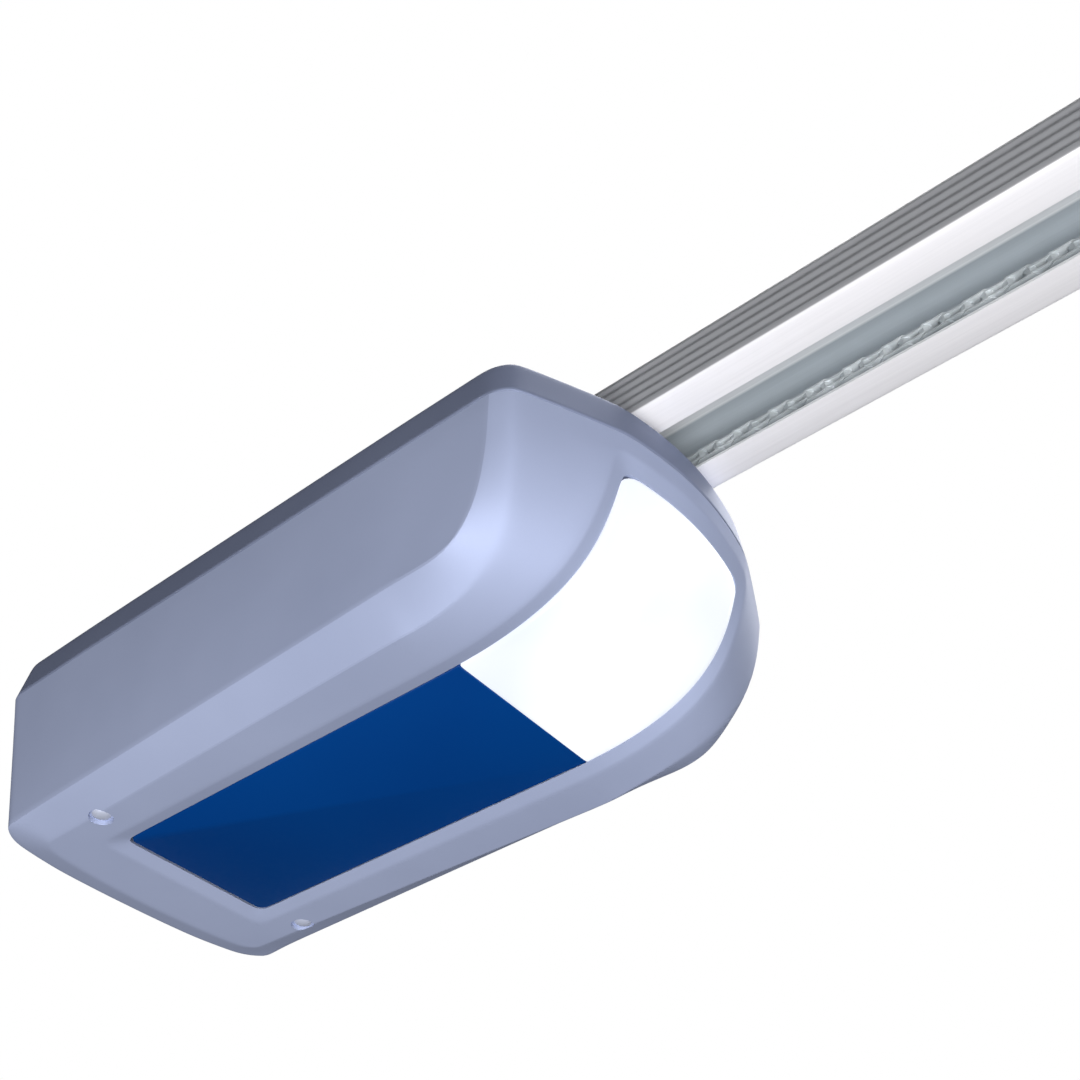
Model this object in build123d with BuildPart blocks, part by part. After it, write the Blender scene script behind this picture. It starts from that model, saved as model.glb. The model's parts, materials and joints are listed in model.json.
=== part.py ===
from build123d import *
from math import pi, sin, tan
import os

os.makedirs("parts", exist_ok=True)

# A garage door opener: a powerhead hung under the ceiling and the C-section rail that it drives.
# +X runs along the rail to the door, +Z is up and y = 0 is the middle plane.
# The origin is the middle of the ceiling bracket's bolting face.

# ---- powerhead, heights from the rim, which is the flat underside of its lower cover
hang_height = 46.0        # ceiling face to the powerhead's top
head_height = 100.0
seam_height = 77.0        # joint between the lower cover and the upper housing
wall = 2.6                # moulded wall
seam_gap = 0.3
flat_half_rear = 67.7     # half-width of the flat underside at its rear end
flat_half_front = 72.9
side_half = 84.2          # half-width where the side chamfer meets the side wall
side_rise_rear = 7.3      # height of that crease at the rear
side_rise_front = 13.2
seam_half = 99.5
top_half = seam_half - 2.9
rear_foot = 38.0          # underside's rear edge behind the origin
rear_wall = 56.0          # rear wall's foot behind the origin, past a shallow chamfer
rear_rise = 6.0           # height of that chamfer
rear_lean = 1.5           # how far the rear wall leans out by the seam
nose_axis = 135.0         # the nose is turned about an upright axis at this x
nose_reach = 172.6        # and has this radius at the seam
nose_flat = 83.0          # radius at which the underside starts to curve up
rim_z = -hang_height - head_height
seam_z = rim_z + seam_height
top_z = rim_z + head_height

# ---- label and lens, which share one recess
label_length = 210.0
label_half = 43.0
lens_top = 60.0           # height of the lens's upper edge
panel_depth = 2.0         # how deep both lie under the rim
panel_wall = 2.4
panel_gap = 0.5
bevel_width = 6.0
screw_x = 7.6             # cover screws
screw_half = 65.4

# ---- rail
rail_width = 64.0
rail_height = 32.0
rail_wall = 1.5
rail_slot = 28.0
rail_lift = 10.0          # powerhead's top to the rail's underside
rail_corner = 3.0
rail_low = top_z + rail_lift
rail_high = rail_low + rail_height
rail_tail = 30.0          # rail behind the drive sprocket
rail_nose = 65.0          # rail beyond the idler sprocket

# ---- chain drive
pitch = 9.525
teeth = 12
roller = 6.35
chain_height = 7.4
plate_width = 8.2
inner_width = 3.6
sprocket_thick = 2.8
drive_x = 120.0
span_pitches = 304        # centre distance of the two sprockets
parked_pitches = 52       # room that the trolley and the sprockets keep at both ends
travel_pitches = span_pitches - parked_pitches
chain_drop = 22.0         # rail's top to the chain's middle
chain_z = rail_high - chain_drop
pitch_radius = pitch / (2 * sin(pi / teeth))
idler_x = drive_x + span_pitches * pitch
travel = travel_pitches * pitch
rail_start = drive_x - rail_tail
rail_end = idler_x + rail_nose
shaft_radius = 6.0
run_gap = 0.05            # radial clearance of a shaft in its bearing
part_gap = 0.4            # clearance between neighbouring pieces

# ---- gearbox and motor
wheel_teeth = 40
gear_module = 1.25
wheel_thick = 12.0
worm_radius = 4.6
motor_radius = 25.0
motor_length = 70.0
box_wall = 4.0
plate_thick = 1.5         # chassis plate
chassis_height = 84.0
wheel_height = chassis_height - motor_radius - 3   # middle of the worm wheel, above the rim
rotor_radius = 13.0
rotor_length = 40.0
bearing_radius = 11.0
bearing_width = 7.0
wheel_pitch_radius = wheel_teeth * gear_module / 2
wheel_tip_radius = wheel_pitch_radius + gear_module
worm_y = wheel_tip_radius + worm_radius + part_gap
wheel_z = rim_z + wheel_height
chassis_z = rim_z + chassis_height

small_bearing = 8.0       # motor bearings
small_width = 5.0
rotor_shaft = 3.0
worm_length = 40.0
cap_depth = 8.0
box_half_x = 36.0
box_floor = 10.0
box_low = rim_z + 34.0
box_seam = rim_z + 74.0
box_screw = 2.0
box_rear_y = -(wheel_tip_radius + 2 + box_wall)
box_width = worm_y + 14.5 - box_rear_y
box_mid_y = box_rear_y + box_width / 2
box_screw_spots = [
    (drive_x + side * (box_half_x - 5), y)
    for side in (-1, 1)
    for y in (box_rear_y + 5, box_rear_y + box_width - 4.3)
]
motor_face = drive_x - box_half_x

# ---- trolley and door arm
trolley_x = idler_x - 165.0
trolley_length = 110.0
web_half = 8.0
arm_width = 30.0
arm_thick = 4.0
straight_length = 330.0
curved_length = 240.0
arm_overlap = 90.0
arm_bend_radius = 90.0
arm_bend_angle = 25.0
pin_radius = 4.0
fork_half = 13.0
sleeve_plate = 3.0
header_plate = 3.0
header_reach = 24.0
header_width = 120.0
header_tall = 50.0
header_pitch_y = 96.0
header_pitch_z = 30.0
wall_hole = 4.5
door_plate = 3.0
door_drop = 26.0
door_length = 60.0
door_width = 90.0
door_pitch_x = 36.0
door_pitch_y = 66.0
door_hole = 3.5


# ---- chassis and hanging parts
chassis_rear = -44.0
chassis_front = 266.0
chassis_width = 186.0
chassis_mid = (chassis_rear + chassis_front) / 2
chassis_length = chassis_front - chassis_rear
throat_radius = 20.0
screw_radius = 2.5        # M5 screws of the straps and the bracket
head_radius = 4.5
cover_screw = 2.0
dimple_depth = 1.5
pillar_foot = 6.0
bracket_length = 54.0
bracket_base = 50.0
bracket_reach = 110.0     # over both flanges
bracket_plate = 2.0
bracket_pitch_x = 34.0
bracket_pitch_y = 30.0
hang_pitch_y = 84.0       # ceiling holes, on the same pitch along x
hang_hole = 3.5
strap_places = (165.0, 225.0)
strap_width = 20.0
strap_plate = 2.0
strap_foot = rail_width / 2 + 22
strap_screw_y = rail_width / 2 + 14
saddle_front = 262.0
saddle_wall = 2.0

# ---- controls and power on the rear wall
button_radius = 5.0
button_travel = 2.0
button_places = (12.0, 28.0, 44.0)
button_height = 46.0
bezel_face = -rear_wall - 3.0   # outer face of the bezel and of the inlet
bezel_depth = 18.0
inlet_y = -30.0
inlet_width = 27.0
inlet_tall = 20.0
button_z = rim_z + button_height
bezel_mid = button_places[1]
bezel_width = button_places[-1] - button_places[0] + 4 * button_radius
bezel_tall = 4 * button_radius

# ---- electrics
board_height = 14.0
board_thick = 1.6
lamp_x = 232.0
transformer_x = 8.0
transformer_y = -34.0
core_length = 60.0
core_depth = 30.0
core_tall = 50.0
core_window = 12.0
inlet_depth = 26.0
core_z = rim_z + chassis_height - core_tall / 2

def nose_solid(inset):
    """The rear block and the turned nose of the powerhead, drawn in by inset on every side."""
    low = rim_z + inset
    high = top_z - inset
    with BuildPart() as nose:
        with BuildSketch(Plane.XZ):
            with BuildLine():
                flat_end = (nose_axis + nose_flat, low)
                brow = (nose_axis + nose_reach - inset, seam_z)
                Polyline((brow[0] - 3, high), (nose_axis, high), (nose_axis, low), flat_end)
                Spline(
                    flat_end,
                    (nose_axis + nose_reach - 27 - inset, low + 16),
                    brow,
                    tangents=((1, 0), (0.14, 1)),
                )
                Line(brow, (brow[0] - 3, high))
            make_face()
        revolve(axis=Axis((nose_axis, 0, 0), (0, 0, 1)))
        with BuildSketch(Plane.XZ):
            with BuildLine():
                Polyline(
                    (-rear_foot + 0.16 * inset, low),
                    (-rear_wall + inset, rim_z + rear_rise + 0.72 * inset),
                    (-rear_wall - rear_lean + inset, seam_z),
                    (-rear_wall + rear_lean + inset, high),
                    (nose_axis + 0.01, high),
                    (nose_axis + 0.01, low),
                    close=True,
                )
            make_face()
        extrude(amount=seam_half + 10, both=True)
    return nose.part


def head_form(inset):
    """The powerhead's closed form: sides splayed up to the seam, a chamfer along each lower side."""
    with BuildPart() as form:
        for station in (-80.0, 330.0):
            share = station / label_length
            flat = flat_half_rear + share * (flat_half_front - flat_half_rear) - inset
            rise = side_rise_rear + share * (side_rise_front - side_rise_rear) + inset * 0.7
            with BuildSketch(Plane.YZ.offset(station)):
                with BuildLine():
                    Polyline(
                        (-flat, rim_z + inset),
                        (flat, rim_z + inset),
                        (side_half + 3 * share - inset, rim_z + rise),
                        (seam_half - inset, seam_z),
                        (top_half - inset, top_z - inset),
                        (-top_half + inset, top_z - inset),
                        (-seam_half + inset, seam_z),
                        (-side_half - 3 * share + inset, rim_z + rise),
                        close=True,
                    )
                make_face()
        loft(ruled=True)
        add(nose_solid(inset), mode=Mode.INTERSECT)
    return form.part


outer_form = head_form(0)
inner_form = head_form(wall)
panel_outer = head_form(panel_depth)
panel_inner = head_form(panel_depth + panel_wall)


# ================================================================ powerhead shell
with BuildPart() as lower_cover:
    add(outer_form)
    add(inner_form, mode=Mode.SUBTRACT)
    split(bisect_by=Plane.XY.offset(seam_z - seam_gap / 2), keep=Keep.BOTTOM)
    # the window for label and lens, open from below and from the front
    with BuildSketch(Plane.XY.offset(rim_z - 1)) as window:
        with Locations((nose_axis + nose_reach / 2 - panel_gap / 2, 0)):
            Rectangle(2 * nose_axis + nose_reach + panel_gap, 2 * (label_half + panel_gap))
        with Locations((-panel_gap, 0)):
            Rectangle(400, 300, align=(Align.MAX, Align.CENTER), mode=Mode.SUBTRACT)
    extrude(amount=lens_top + panel_gap + 1, mode=Mode.SUBTRACT)
    # dimples and holes for the two rear cover screws
    with Locations(Plane.XY.offset(rim_z)):
        with Locations((screw_x, screw_half), (screw_x, -screw_half)):
            Cylinder(head_radius + 0.7, 2 * dimple_depth, mode=Mode.SUBTRACT)
            Cylinder(cover_screw + 0.2, 20.0, mode=Mode.SUBTRACT)
    # riser and ledge that back the label from inside
    with BuildSketch(Plane.XY.offset(rim_z + wall - 0.2)):
        with Locations((label_length / 2, 0)):
            Rectangle(label_length + 2 * bevel_width, 2 * (label_half + bevel_width))
            Rectangle(label_length + 2 * panel_gap, 2 * (label_half + panel_gap), mode=Mode.SUBTRACT)
        with Locations((label_length - 12, 0)):
            Rectangle(60, 300, align=(Align.MIN, Align.CENTER), mode=Mode.SUBTRACT)
    extrude(amount=panel_depth + panel_wall + 0.1 - wall + 0.2)
    with BuildSketch(Plane.XY.offset(rim_z + panel_depth + panel_wall + 0.1)):
        with Locations((label_length / 2, 0)):
            Rectangle(label_length + 2 * bevel_width, 2 * (label_half + bevel_width))
            Rectangle(label_length - 16, 2 * label_half - 12, mode=Mode.SUBTRACT)
        with Locations((label_length - 12, 0)):
            Rectangle(60, 300, align=(Align.MIN, Align.CENTER), mode=Mode.SUBTRACT)
    extrude(amount=1.6)
    # openings in the rear wall for the button bezel and the power inlet
    with Locations((bezel_face, bezel_mid, button_z)):
        Box(60, bezel_width + 2 * part_gap, bezel_tall + 2 * part_gap, mode=Mode.SUBTRACT)
    with Locations((bezel_face, inlet_y, button_z)):
        Box(60, inlet_width + 2 * part_gap, inlet_tall + 2 * part_gap, mode=Mode.SUBTRACT)
lower_cover.part.label = "lower_cover"
export_step(lower_cover.part, "parts/lower_cover.step")

with BuildPart() as upper_housing:
    add(outer_form)
    add(inner_form, mode=Mode.SUBTRACT)
    split(bisect_by=Plane.XY.offset(seam_z + seam_gap / 2), keep=Keep.TOP)
    with Locations((drive_x, 0, top_z)):
        Cylinder(throat_radius, 30.0, mode=Mode.SUBTRACT)
    # screw holes for the rail straps and the ceiling bracket
    with Locations(*[(x, y, top_z) for x in strap_places for y in (-strap_screw_y, strap_screw_y)]):
        Cylinder(screw_radius + 0.1, 30.0, mode=Mode.SUBTRACT)
    with Locations((0, 0, top_z)):
        with GridLocations(bracket_pitch_x, bracket_pitch_y, 2, 2):
            Cylinder(screw_radius + 0.1, 30.0, mode=Mode.SUBTRACT)
upper_housing.part.label = "upper_housing"
export_step(upper_housing.part, "parts/upper_housing.step")

with BuildPart() as label_panel:
    with BuildSketch(Plane.XY.offset(rim_z + panel_depth)):
        with Locations((label_length / 2, 0)):
            Rectangle(label_length, 2 * label_half)
    extrude(amount=panel_wall)
    fillet(label_panel.edges().filter_by(Axis.Z).group_by(Axis.X)[0], 3.0)
label_panel.part.label = "label_panel"
export_step(label_panel.part, "parts/label_panel.step")

with BuildPart() as light_lens:
    add(panel_outer)
    add(panel_inner, mode=Mode.SUBTRACT)
    with Locations((label_length + panel_gap, 0, rim_z)):
        Box(200, 2 * label_half, 2 * lens_top, align=(Align.MIN, Align.CENTER, Align.CENTER),
            mode=Mode.INTERSECT)
light_lens.part.label = "light_lens"
export_step(light_lens.part, "parts/light_lens.step")

screw_spots = [(screw_x, side * screw_half) for side in (-1, 1)]
strap_spots = [(x, side * strap_screw_y) for x in strap_places for side in (-1, 1)]

# pan-head screws that close the lower cover onto two pillars of the chassis
with BuildPart() as cover_screws:
    with BuildSketch(Plane.XY.offset(rim_z + dimple_depth)):
        with Locations(*screw_spots):
            Circle(head_radius)
    extrude(amount=-dimple_depth - 0.3, taper=20)
    with BuildSketch(Plane.XY.offset(rim_z + dimple_depth)):
        with Locations(*screw_spots):
            Circle(cover_screw)
    extrude(amount=12.0)
    with Locations(*[(x, y, rim_z) for x, y in screw_spots]):
        Box(4.6, 0.9, 1.6, mode=Mode.SUBTRACT)
        Box(0.9, 4.6, 1.6, mode=Mode.SUBTRACT)
cover_screws.part.label = "cover_screws"
export_step(cover_screws.part, "parts/cover_screws.step")

# ================================================================ chassis and hanging parts
with BuildPart() as chassis_plate:
    with BuildSketch(Plane.XY.offset(chassis_z)):
        with Locations((chassis_mid, 0)):
            RectangleRounded(chassis_length, chassis_width, 8)
    extrude(amount=plate_thick)
    # pillars down to the cover screws
    with BuildSketch(Plane.XY.offset(rim_z + pillar_foot)):
        with Locations(*screw_spots):
            Circle(5.0)
    extrude(amount=chassis_height - pillar_foot)
    # distance tubes up to the housing's top, which take the strap and bracket screws
    with BuildSketch(Plane.XY.offset(chassis_z)):
        with Locations(*strap_spots):
            Circle(screw_radius + 2.5)
        with GridLocations(bracket_pitch_x, bracket_pitch_y, 2, 2):
            Circle(screw_radius + 2.5)
    extrude(amount=head_height - wall - chassis_height)
    with Locations((drive_x, 0, chassis_z)):
        Cylinder(throat_radius - 8, 10.0, mode=Mode.SUBTRACT)
    with Locations(*[(x, y, rim_z + pillar_foot) for x, y in screw_spots]):
        Cylinder(cover_screw + 0.1, 20.0, mode=Mode.SUBTRACT)
    with Locations(*[(x, y, chassis_z) for x, y in strap_spots]):
        Cylinder(screw_radius + 0.1, 2 * head_height, mode=Mode.SUBTRACT)
    with Locations((0, 0, chassis_z)):
        with GridLocations(bracket_pitch_x, bracket_pitch_y, 2, 2):
            Cylinder(screw_radius + 0.1, 2 * head_height, mode=Mode.SUBTRACT)
    with Locations(*[(x, y, chassis_z) for x, y in box_screw_spots]):
        Cylinder(box_screw + 0.1, 10.0, mode=Mode.SUBTRACT)
chassis_plate.part.label = "chassis_plate"
export_step(chassis_plate.part, "parts/chassis_plate.step")

# hat-shaped bracket: base on the powerhead, two flanges against the ceiling
with BuildPart() as ceiling_bracket:
    with BuildSketch(Plane.YZ.offset(-bracket_length / 2)):
        with Locations((0, top_z)):
            Rectangle(bracket_base, bracket_plate, align=(Align.CENTER, Align.MIN))
        for side in (-1, 1):
            edge = Align.MAX if side > 0 else Align.MIN
            with Locations((side * bracket_base / 2, top_z)):
                Rectangle(bracket_plate, hang_height, align=(edge, Align.MIN))
            with Locations((side * bracket_reach / 2, 0)):
                Rectangle((bracket_reach - bracket_base) / 2 + bracket_plate, bracket_plate,
                          align=(edge, Align.MAX))
    extrude(amount=bracket_length)
    with Locations((0, 0, 0)):
        with GridLocations(bracket_pitch_x, hang_pitch_y, 2, 2):
            Cylinder(hang_hole, 10, mode=Mode.SUBTRACT)
    with Locations((0, 0, top_z)):
        with GridLocations(bracket_pitch_x, bracket_pitch_y, 2, 2):
            Cylinder(screw_radius + 0.1, 10, mode=Mode.SUBTRACT)
    fillet(ceiling_bracket.edges().filter_by(Axis.Z).group_by(SortBy.LENGTH)[0], 1.9)
ceiling_bracket.part.label = "ceiling_bracket"
export_step(ceiling_bracket.part, "parts/ceiling_bracket.step")


def top_screws(spots, seat):
    """Hexagon-head screws from a seat above the powerhead down into the chassis tubes."""
    with BuildPart() as screws:
        with BuildSketch(Plane.XY.offset(seat)):
            with Locations(*spots):
                RegularPolygon(head_radius, 6)
        extrude(amount=3.5)
        with BuildSketch(Plane.XY.offset(seat)):
            with Locations(*spots):
                Circle(screw_radius)
        extrude(amount=-(seat - chassis_z) - 3.0)
    return screws.part


bracket_spots = [
    (x * bracket_pitch_x / 2, y * bracket_pitch_y / 2) for x in (-1, 1) for y in (-1, 1)
]
with BuildPart() as housing_screws:
    add(top_screws(bracket_spots, top_z + bracket_plate))
    add(top_screws(strap_spots, top_z + strap_plate))
housing_screws.part.label = "housing_screws"
export_step(housing_screws.part, "parts/housing_screws.step")

# tray between powerhead and rail, with a rib under each lip and a wall beside the rail
with BuildPart() as rail_saddle:
    saddle_half = rail_width / 2 + part_gap + saddle_wall
    with BuildSketch(Plane.YZ.offset(rail_start)):
        with Locations((0, top_z)):
            Rectangle(2 * saddle_half, saddle_wall, align=(Align.CENTER, Align.MIN))
        for side in (-1, 1):
            edge = Align.MAX if side > 0 else Align.MIN
            with Locations((side * saddle_half, top_z)):
                Rectangle(saddle_wall, rail_lift + 12, align=(edge, Align.MIN))
            with Locations((side * (rail_slot / 2 + 10), top_z)):
                Rectangle(8, rail_lift, align=(Align.CENTER, Align.MIN))
    extrude(amount=saddle_front - rail_start)
    with Locations((drive_x, 0, top_z)):
        Cylinder(throat_radius - 8, 10, mode=Mode.SUBTRACT)
rail_saddle.part.label = "rail_saddle"
export_step(rail_saddle.part, "parts/rail_saddle.step")

with BuildPart() as rail_straps:
    strap_half = saddle_half + part_gap + strap_plate
    for x in strap_places:
        with BuildSketch(Plane.YZ.offset(x - strap_width / 2)):
            with Locations((0, top_z)):
                Rectangle(2 * strap_half, rail_lift + rail_height + 0.2 + strap_plate,
                          align=(Align.CENTER, Align.MIN))
                Rectangle(2 * (strap_half - strap_plate), rail_lift + rail_height + 0.2,
                          align=(Align.CENTER, Align.MIN), mode=Mode.SUBTRACT)
            for side in (-1, 1):
                edge = Align.MAX if side > 0 else Align.MIN
                with Locations((side * strap_foot, top_z)):
                    Rectangle(strap_foot - strap_half + strap_plate, strap_plate,
                              align=(edge, Align.MIN))
        extrude(amount=strap_width)
    with Locations(*[(x, y, top_z) for x, y in strap_spots]):
        Cylinder(screw_radius + 0.1, 10, mode=Mode.SUBTRACT)
rail_straps.part.label = "rail_straps"
export_step(rail_straps.part, "parts/rail_straps.step")

# ================================================================ gearbox
with BuildPart() as gearbox_housing:
    with BuildSketch(Plane.XY.offset(box_low)):
        with Locations((drive_x, box_mid_y)):
            RectangleRounded(2 * box_half_x, box_width, 5)
    extrude(amount=box_seam - box_low)
    with Locations((drive_x, 0, box_low + box_floor)):
        Cylinder(wheel_tip_radius + 2, 100, align=(Align.CENTER, Align.CENTER, Align.MIN),
                 mode=Mode.SUBTRACT)
    # channel of the worm, and its bearing seats in both end walls
    with Locations((drive_x, worm_y, wheel_z)):
        Box(2 * (box_half_x - small_width - 2), 2 * worm_radius + 4, 2 * worm_radius + 4,
            mode=Mode.SUBTRACT)
        Cylinder(small_bearing, 2 * (box_half_x - 1.5), rotation=(0, 90, 0), mode=Mode.SUBTRACT)
        Cylinder(rotor_shaft + 1, 200, rotation=(0, 90, 0), mode=Mode.SUBTRACT)
    # seat of the lower output bearing
    with Locations((drive_x, 0, box_low + box_floor)):
        Cylinder(bearing_radius, 2 * bearing_width, mode=Mode.SUBTRACT)
    with Locations(*[(x, y, box_seam) for x, y in box_screw_spots]):
        Cylinder(box_screw, 24, mode=Mode.SUBTRACT)
gearbox_housing.part.label = "gearbox_housing"
export_step(gearbox_housing.part, "parts/gearbox_housing.step")

with BuildPart() as gearbox_lid:
    with BuildSketch(Plane.XY.offset(box_seam)):
        with Locations((drive_x, box_mid_y)):
            RectangleRounded(2 * box_half_x, box_width, 5)
    extrude(amount=chassis_z - box_seam)
    with Locations((drive_x, 0, box_seam)):
        Cylinder(bearing_radius, 2 * bearing_width, mode=Mode.SUBTRACT)
        Cylinder(shaft_radius + 1, 60, mode=Mode.SUBTRACT)
    with Locations(*[(x, y, box_seam) for x, y in box_screw_spots]):
        Cylinder(box_screw + 0.1, 30, mode=Mode.SUBTRACT)
gearbox_lid.part.label = "gearbox_lid"
export_step(gearbox_lid.part, "parts/gearbox_lid.step")

with BuildPart() as gearbox_screws:
    with BuildSketch(Plane.XY.offset(chassis_z + plate_thick)):
        with Locations(*box_screw_spots):
            Circle(box_screw + 2)
    extrude(amount=3.0)
    with Locations(*[(x, y, chassis_z + plate_thick + 3) for x, y in box_screw_spots]):
        Cylinder(1.6, 3.0, mode=Mode.SUBTRACT)
    with BuildSketch(Plane.XY.offset(chassis_z + plate_thick)):
        with Locations(*box_screw_spots):
            Circle(box_screw)
    extrude(amount=-(chassis_z + plate_thick - box_seam) - 10)
gearbox_screws.part.label = "gearbox_screws"
export_step(gearbox_screws.part, "parts/gearbox_screws.step")


def ring_bearing(outer, bore, width, plane):
    """A ball bearing as two rings with a shield between them, in one piece."""
    rim = (outer - bore) * 0.3
    with BuildPart() as ring:
        with BuildSketch(plane):
            Circle(outer)
            Circle(bore, mode=Mode.SUBTRACT)
        extrude(amount=width)
        for face in (plane, plane.offset(width - 0.5)):
            with BuildSketch(face):
                Circle(outer - rim)
                Circle(bore + rim, mode=Mode.SUBTRACT)
            extrude(amount=0.5, mode=Mode.SUBTRACT)
    return ring.part


with BuildPart() as output_bearings:
    for low in (box_low + box_floor - bearing_width, box_seam):
        add(ring_bearing(bearing_radius, shaft_radius + run_gap, bearing_width,
                         Plane((drive_x, 0, low))))
output_bearings.part.label = "output_bearings"
export_step(output_bearings.part, "parts/output_bearings.step")

with BuildPart() as output_shaft:
    with BuildSketch(Plane((drive_x, 0, box_low + box_floor - bearing_width + 1))):
        Circle(shaft_radius)
    extrude(amount=chain_z + 7 - (box_low + box_floor - bearing_width + 1))
    chamfer(output_shaft.edges().group_by(Axis.Z)[-1], 1)
output_shaft.part.label = "output_shaft"
export_step(output_shaft.part, "parts/output_shaft.step")

with BuildPart() as worm_wheel:
    with BuildSketch(Plane((drive_x, 0, wheel_z - wheel_thick / 2))):
        Circle(wheel_tip_radius)
        with PolarLocations(wheel_tip_radius, wheel_teeth):
            Circle(gear_module * 0.95, mode=Mode.SUBTRACT)
        Circle(shaft_radius, mode=Mode.SUBTRACT)
    extrude(amount=wheel_thick)
    # web between hub and rim
    for face in (wheel_z - wheel_thick / 2, wheel_z + wheel_thick / 2 - 3):
        with BuildSketch(Plane((drive_x, 0, face))):
            Circle(wheel_pitch_radius - 4)
            Circle(shaft_radius + 4, mode=Mode.SUBTRACT)
        extrude(amount=3, mode=Mode.SUBTRACT)
worm_wheel.part.label = "worm_wheel"
export_step(worm_wheel.part, "parts/worm_wheel.step")


def chain_sprocket(x, bore, hub):
    """A plate sprocket with round seats for the rollers and a hub under it."""
    with BuildPart() as wheel:
        with BuildSketch(Plane((x, 0, chain_z - sprocket_thick / 2))):
            Circle(pitch * (0.6 + 1 / tan(pi / teeth)) / 2)
            with PolarLocations(pitch_radius, teeth):
                Circle(roller / 2 + 0.15, mode=Mode.SUBTRACT)
        extrude(amount=sprocket_thick)
        if hub:
            with BuildSketch(Plane((x, 0, chain_z - sprocket_thick / 2))):
                Circle(bore + 4)
            extrude(amount=-hub)
        with Locations((x, 0, chain_z)):
            Cylinder(bore, 60, mode=Mode.SUBTRACT)
    return wheel.part


with BuildPart() as drive_sprocket:
    add(chain_sprocket(drive_x, shaft_radius, 8.0))
drive_sprocket.part.label = "drive_sprocket"
export_step(drive_sprocket.part, "parts/drive_sprocket.step")

# ================================================================ motor
motor_plane = Plane(origin=(motor_face, worm_y, wheel_z), x_dir=(0, 1, 0), z_dir=(-1, 0, 0))

with BuildPart() as motor_can:
    with BuildSketch(motor_plane):
        Circle(motor_radius)
    extrude(amount=motor_length)
    with BuildSketch(motor_plane.offset(2)):
        Circle(motor_radius - 2)
    extrude(amount=motor_length, mode=Mode.SUBTRACT)
    with BuildSketch(motor_plane):
        Circle(rotor_shaft + 1)
    extrude(amount=3, mode=Mode.SUBTRACT)
motor_can.part.label = "motor_can"
export_step(motor_can.part, "parts/motor_can.step")

with BuildPart() as motor_end_cap:
    with BuildSketch(motor_plane.offset(motor_length)):
        Circle(motor_radius)
    extrude(amount=cap_depth)
    with BuildSketch(motor_plane.offset(motor_length)):
        Circle(small_bearing)
    extrude(amount=small_width, mode=Mode.SUBTRACT)
    with BuildSketch(motor_plane.offset(motor_length)):
        with PolarLocations(motor_radius - 7, 6):
            Circle(2.5)
    extrude(amount=cap_depth, mode=Mode.SUBTRACT)
    fillet(motor_end_cap.edges().filter_by(GeomType.CIRCLE).group_by(Axis.X)[0].sort_by(
        SortBy.RADIUS)[-1], 2)
motor_end_cap.part.label = "motor_end_cap"
export_step(motor_end_cap.part, "parts/motor_end_cap.step")

with BuildPart() as motor_magnets:
    with BuildSketch(motor_plane.offset(10)):
        Circle(motor_radius - 2)
        Circle(rotor_radius + 1.5, mode=Mode.SUBTRACT)
        Rectangle(2 * motor_radius, 10, mode=Mode.SUBTRACT)
    extrude(amount=motor_length - 20)
motor_magnets.part.label = "motor_magnets"
export_step(motor_magnets.part, "parts/motor_magnets.step")

with BuildPart() as rotor:
    with BuildSketch(motor_plane.offset((motor_length - rotor_length) / 2)):
        Circle(rotor_radius)
        with PolarLocations(rotor_radius - 3, 8):
            RectangleRounded(6, 3, 1, mode=Mode.SUBTRACT)
        with PolarLocations(rotor_radius, 8):
            Rectangle(4, 1.2, mode=Mode.SUBTRACT)
        Circle(rotor_shaft, mode=Mode.SUBTRACT)
    extrude(amount=rotor_length)
rotor.part.label = "rotor"
export_step(rotor.part, "parts/rotor.step")

# armature shaft with the worm on its front end
with BuildPart() as worm_shaft:
    shaft_end = drive_x + box_half_x - 2
    with BuildSketch(Plane.YZ.offset(shaft_end)):
        with Locations((worm_y, wheel_z)):
            Circle(rotor_shaft)
    extrude(amount=-(shaft_end - motor_face + motor_length + small_width - 0.5))
    with BuildSketch(Plane.YZ.offset(drive_x - worm_length / 2)):
        with Locations((worm_y, wheel_z)):
            Circle(worm_radius)
    extrude(amount=worm_length)
worm_shaft.part.label = "worm_shaft"
export_step(worm_shaft.part, "parts/worm_shaft.step")

with BuildPart() as rotor_bearings:
    for x in (motor_face - motor_length - small_width, drive_x - box_half_x + 1.5,
              drive_x + box_half_x - 1.5 - small_width):
        add(ring_bearing(small_bearing, rotor_shaft + run_gap, small_width,
                         Plane(origin=(x, worm_y, wheel_z), z_dir=(1, 0, 0))))
rotor_bearings.part.label = "rotor_bearings"
export_step(rotor_bearings.part, "parts/rotor_bearings.step")

# ================================================================ electrics
with BuildPart() as transformer_core:
    with Locations((transformer_x, transformer_y, chassis_z)):
        Box(core_length, core_depth, core_tall, align=(Align.CENTER, Align.CENTER, Align.MAX))
    for side in (-1, 1):
        with Locations((transformer_x + side * core_length / 4, transformer_y, core_z)):
            Box(core_window, core_depth, core_tall - 20, mode=Mode.SUBTRACT)
transformer_core.part.label = "transformer_core"
export_step(transformer_core.part, "parts/transformer_core.step")

with BuildPart() as transformer_coil:
    with Locations((transformer_x, transformer_y, core_z)):
        Box(core_length / 2 + core_window - 0.6, core_depth + 14, core_tall - 20.6)
        Box(core_length / 2 - core_window + 0.6, core_depth + 0.6, core_tall, mode=Mode.SUBTRACT)
    fillet(transformer_coil.edges().filter_by(Axis.Z).group_by(Axis.Y)[0], 5)
    fillet(transformer_coil.edges().filter_by(Axis.Z).group_by(Axis.Y)[-1], 5)
transformer_coil.part.label = "transformer_coil"
export_step(transformer_coil.part, "parts/transformer_coil.step")

board_z = rim_z + board_height
board_top = board_z + board_thick
standoff_spots = [(x, y) for x in (37.0, 143.0) for y in (-56.0, 56.0)]

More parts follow.
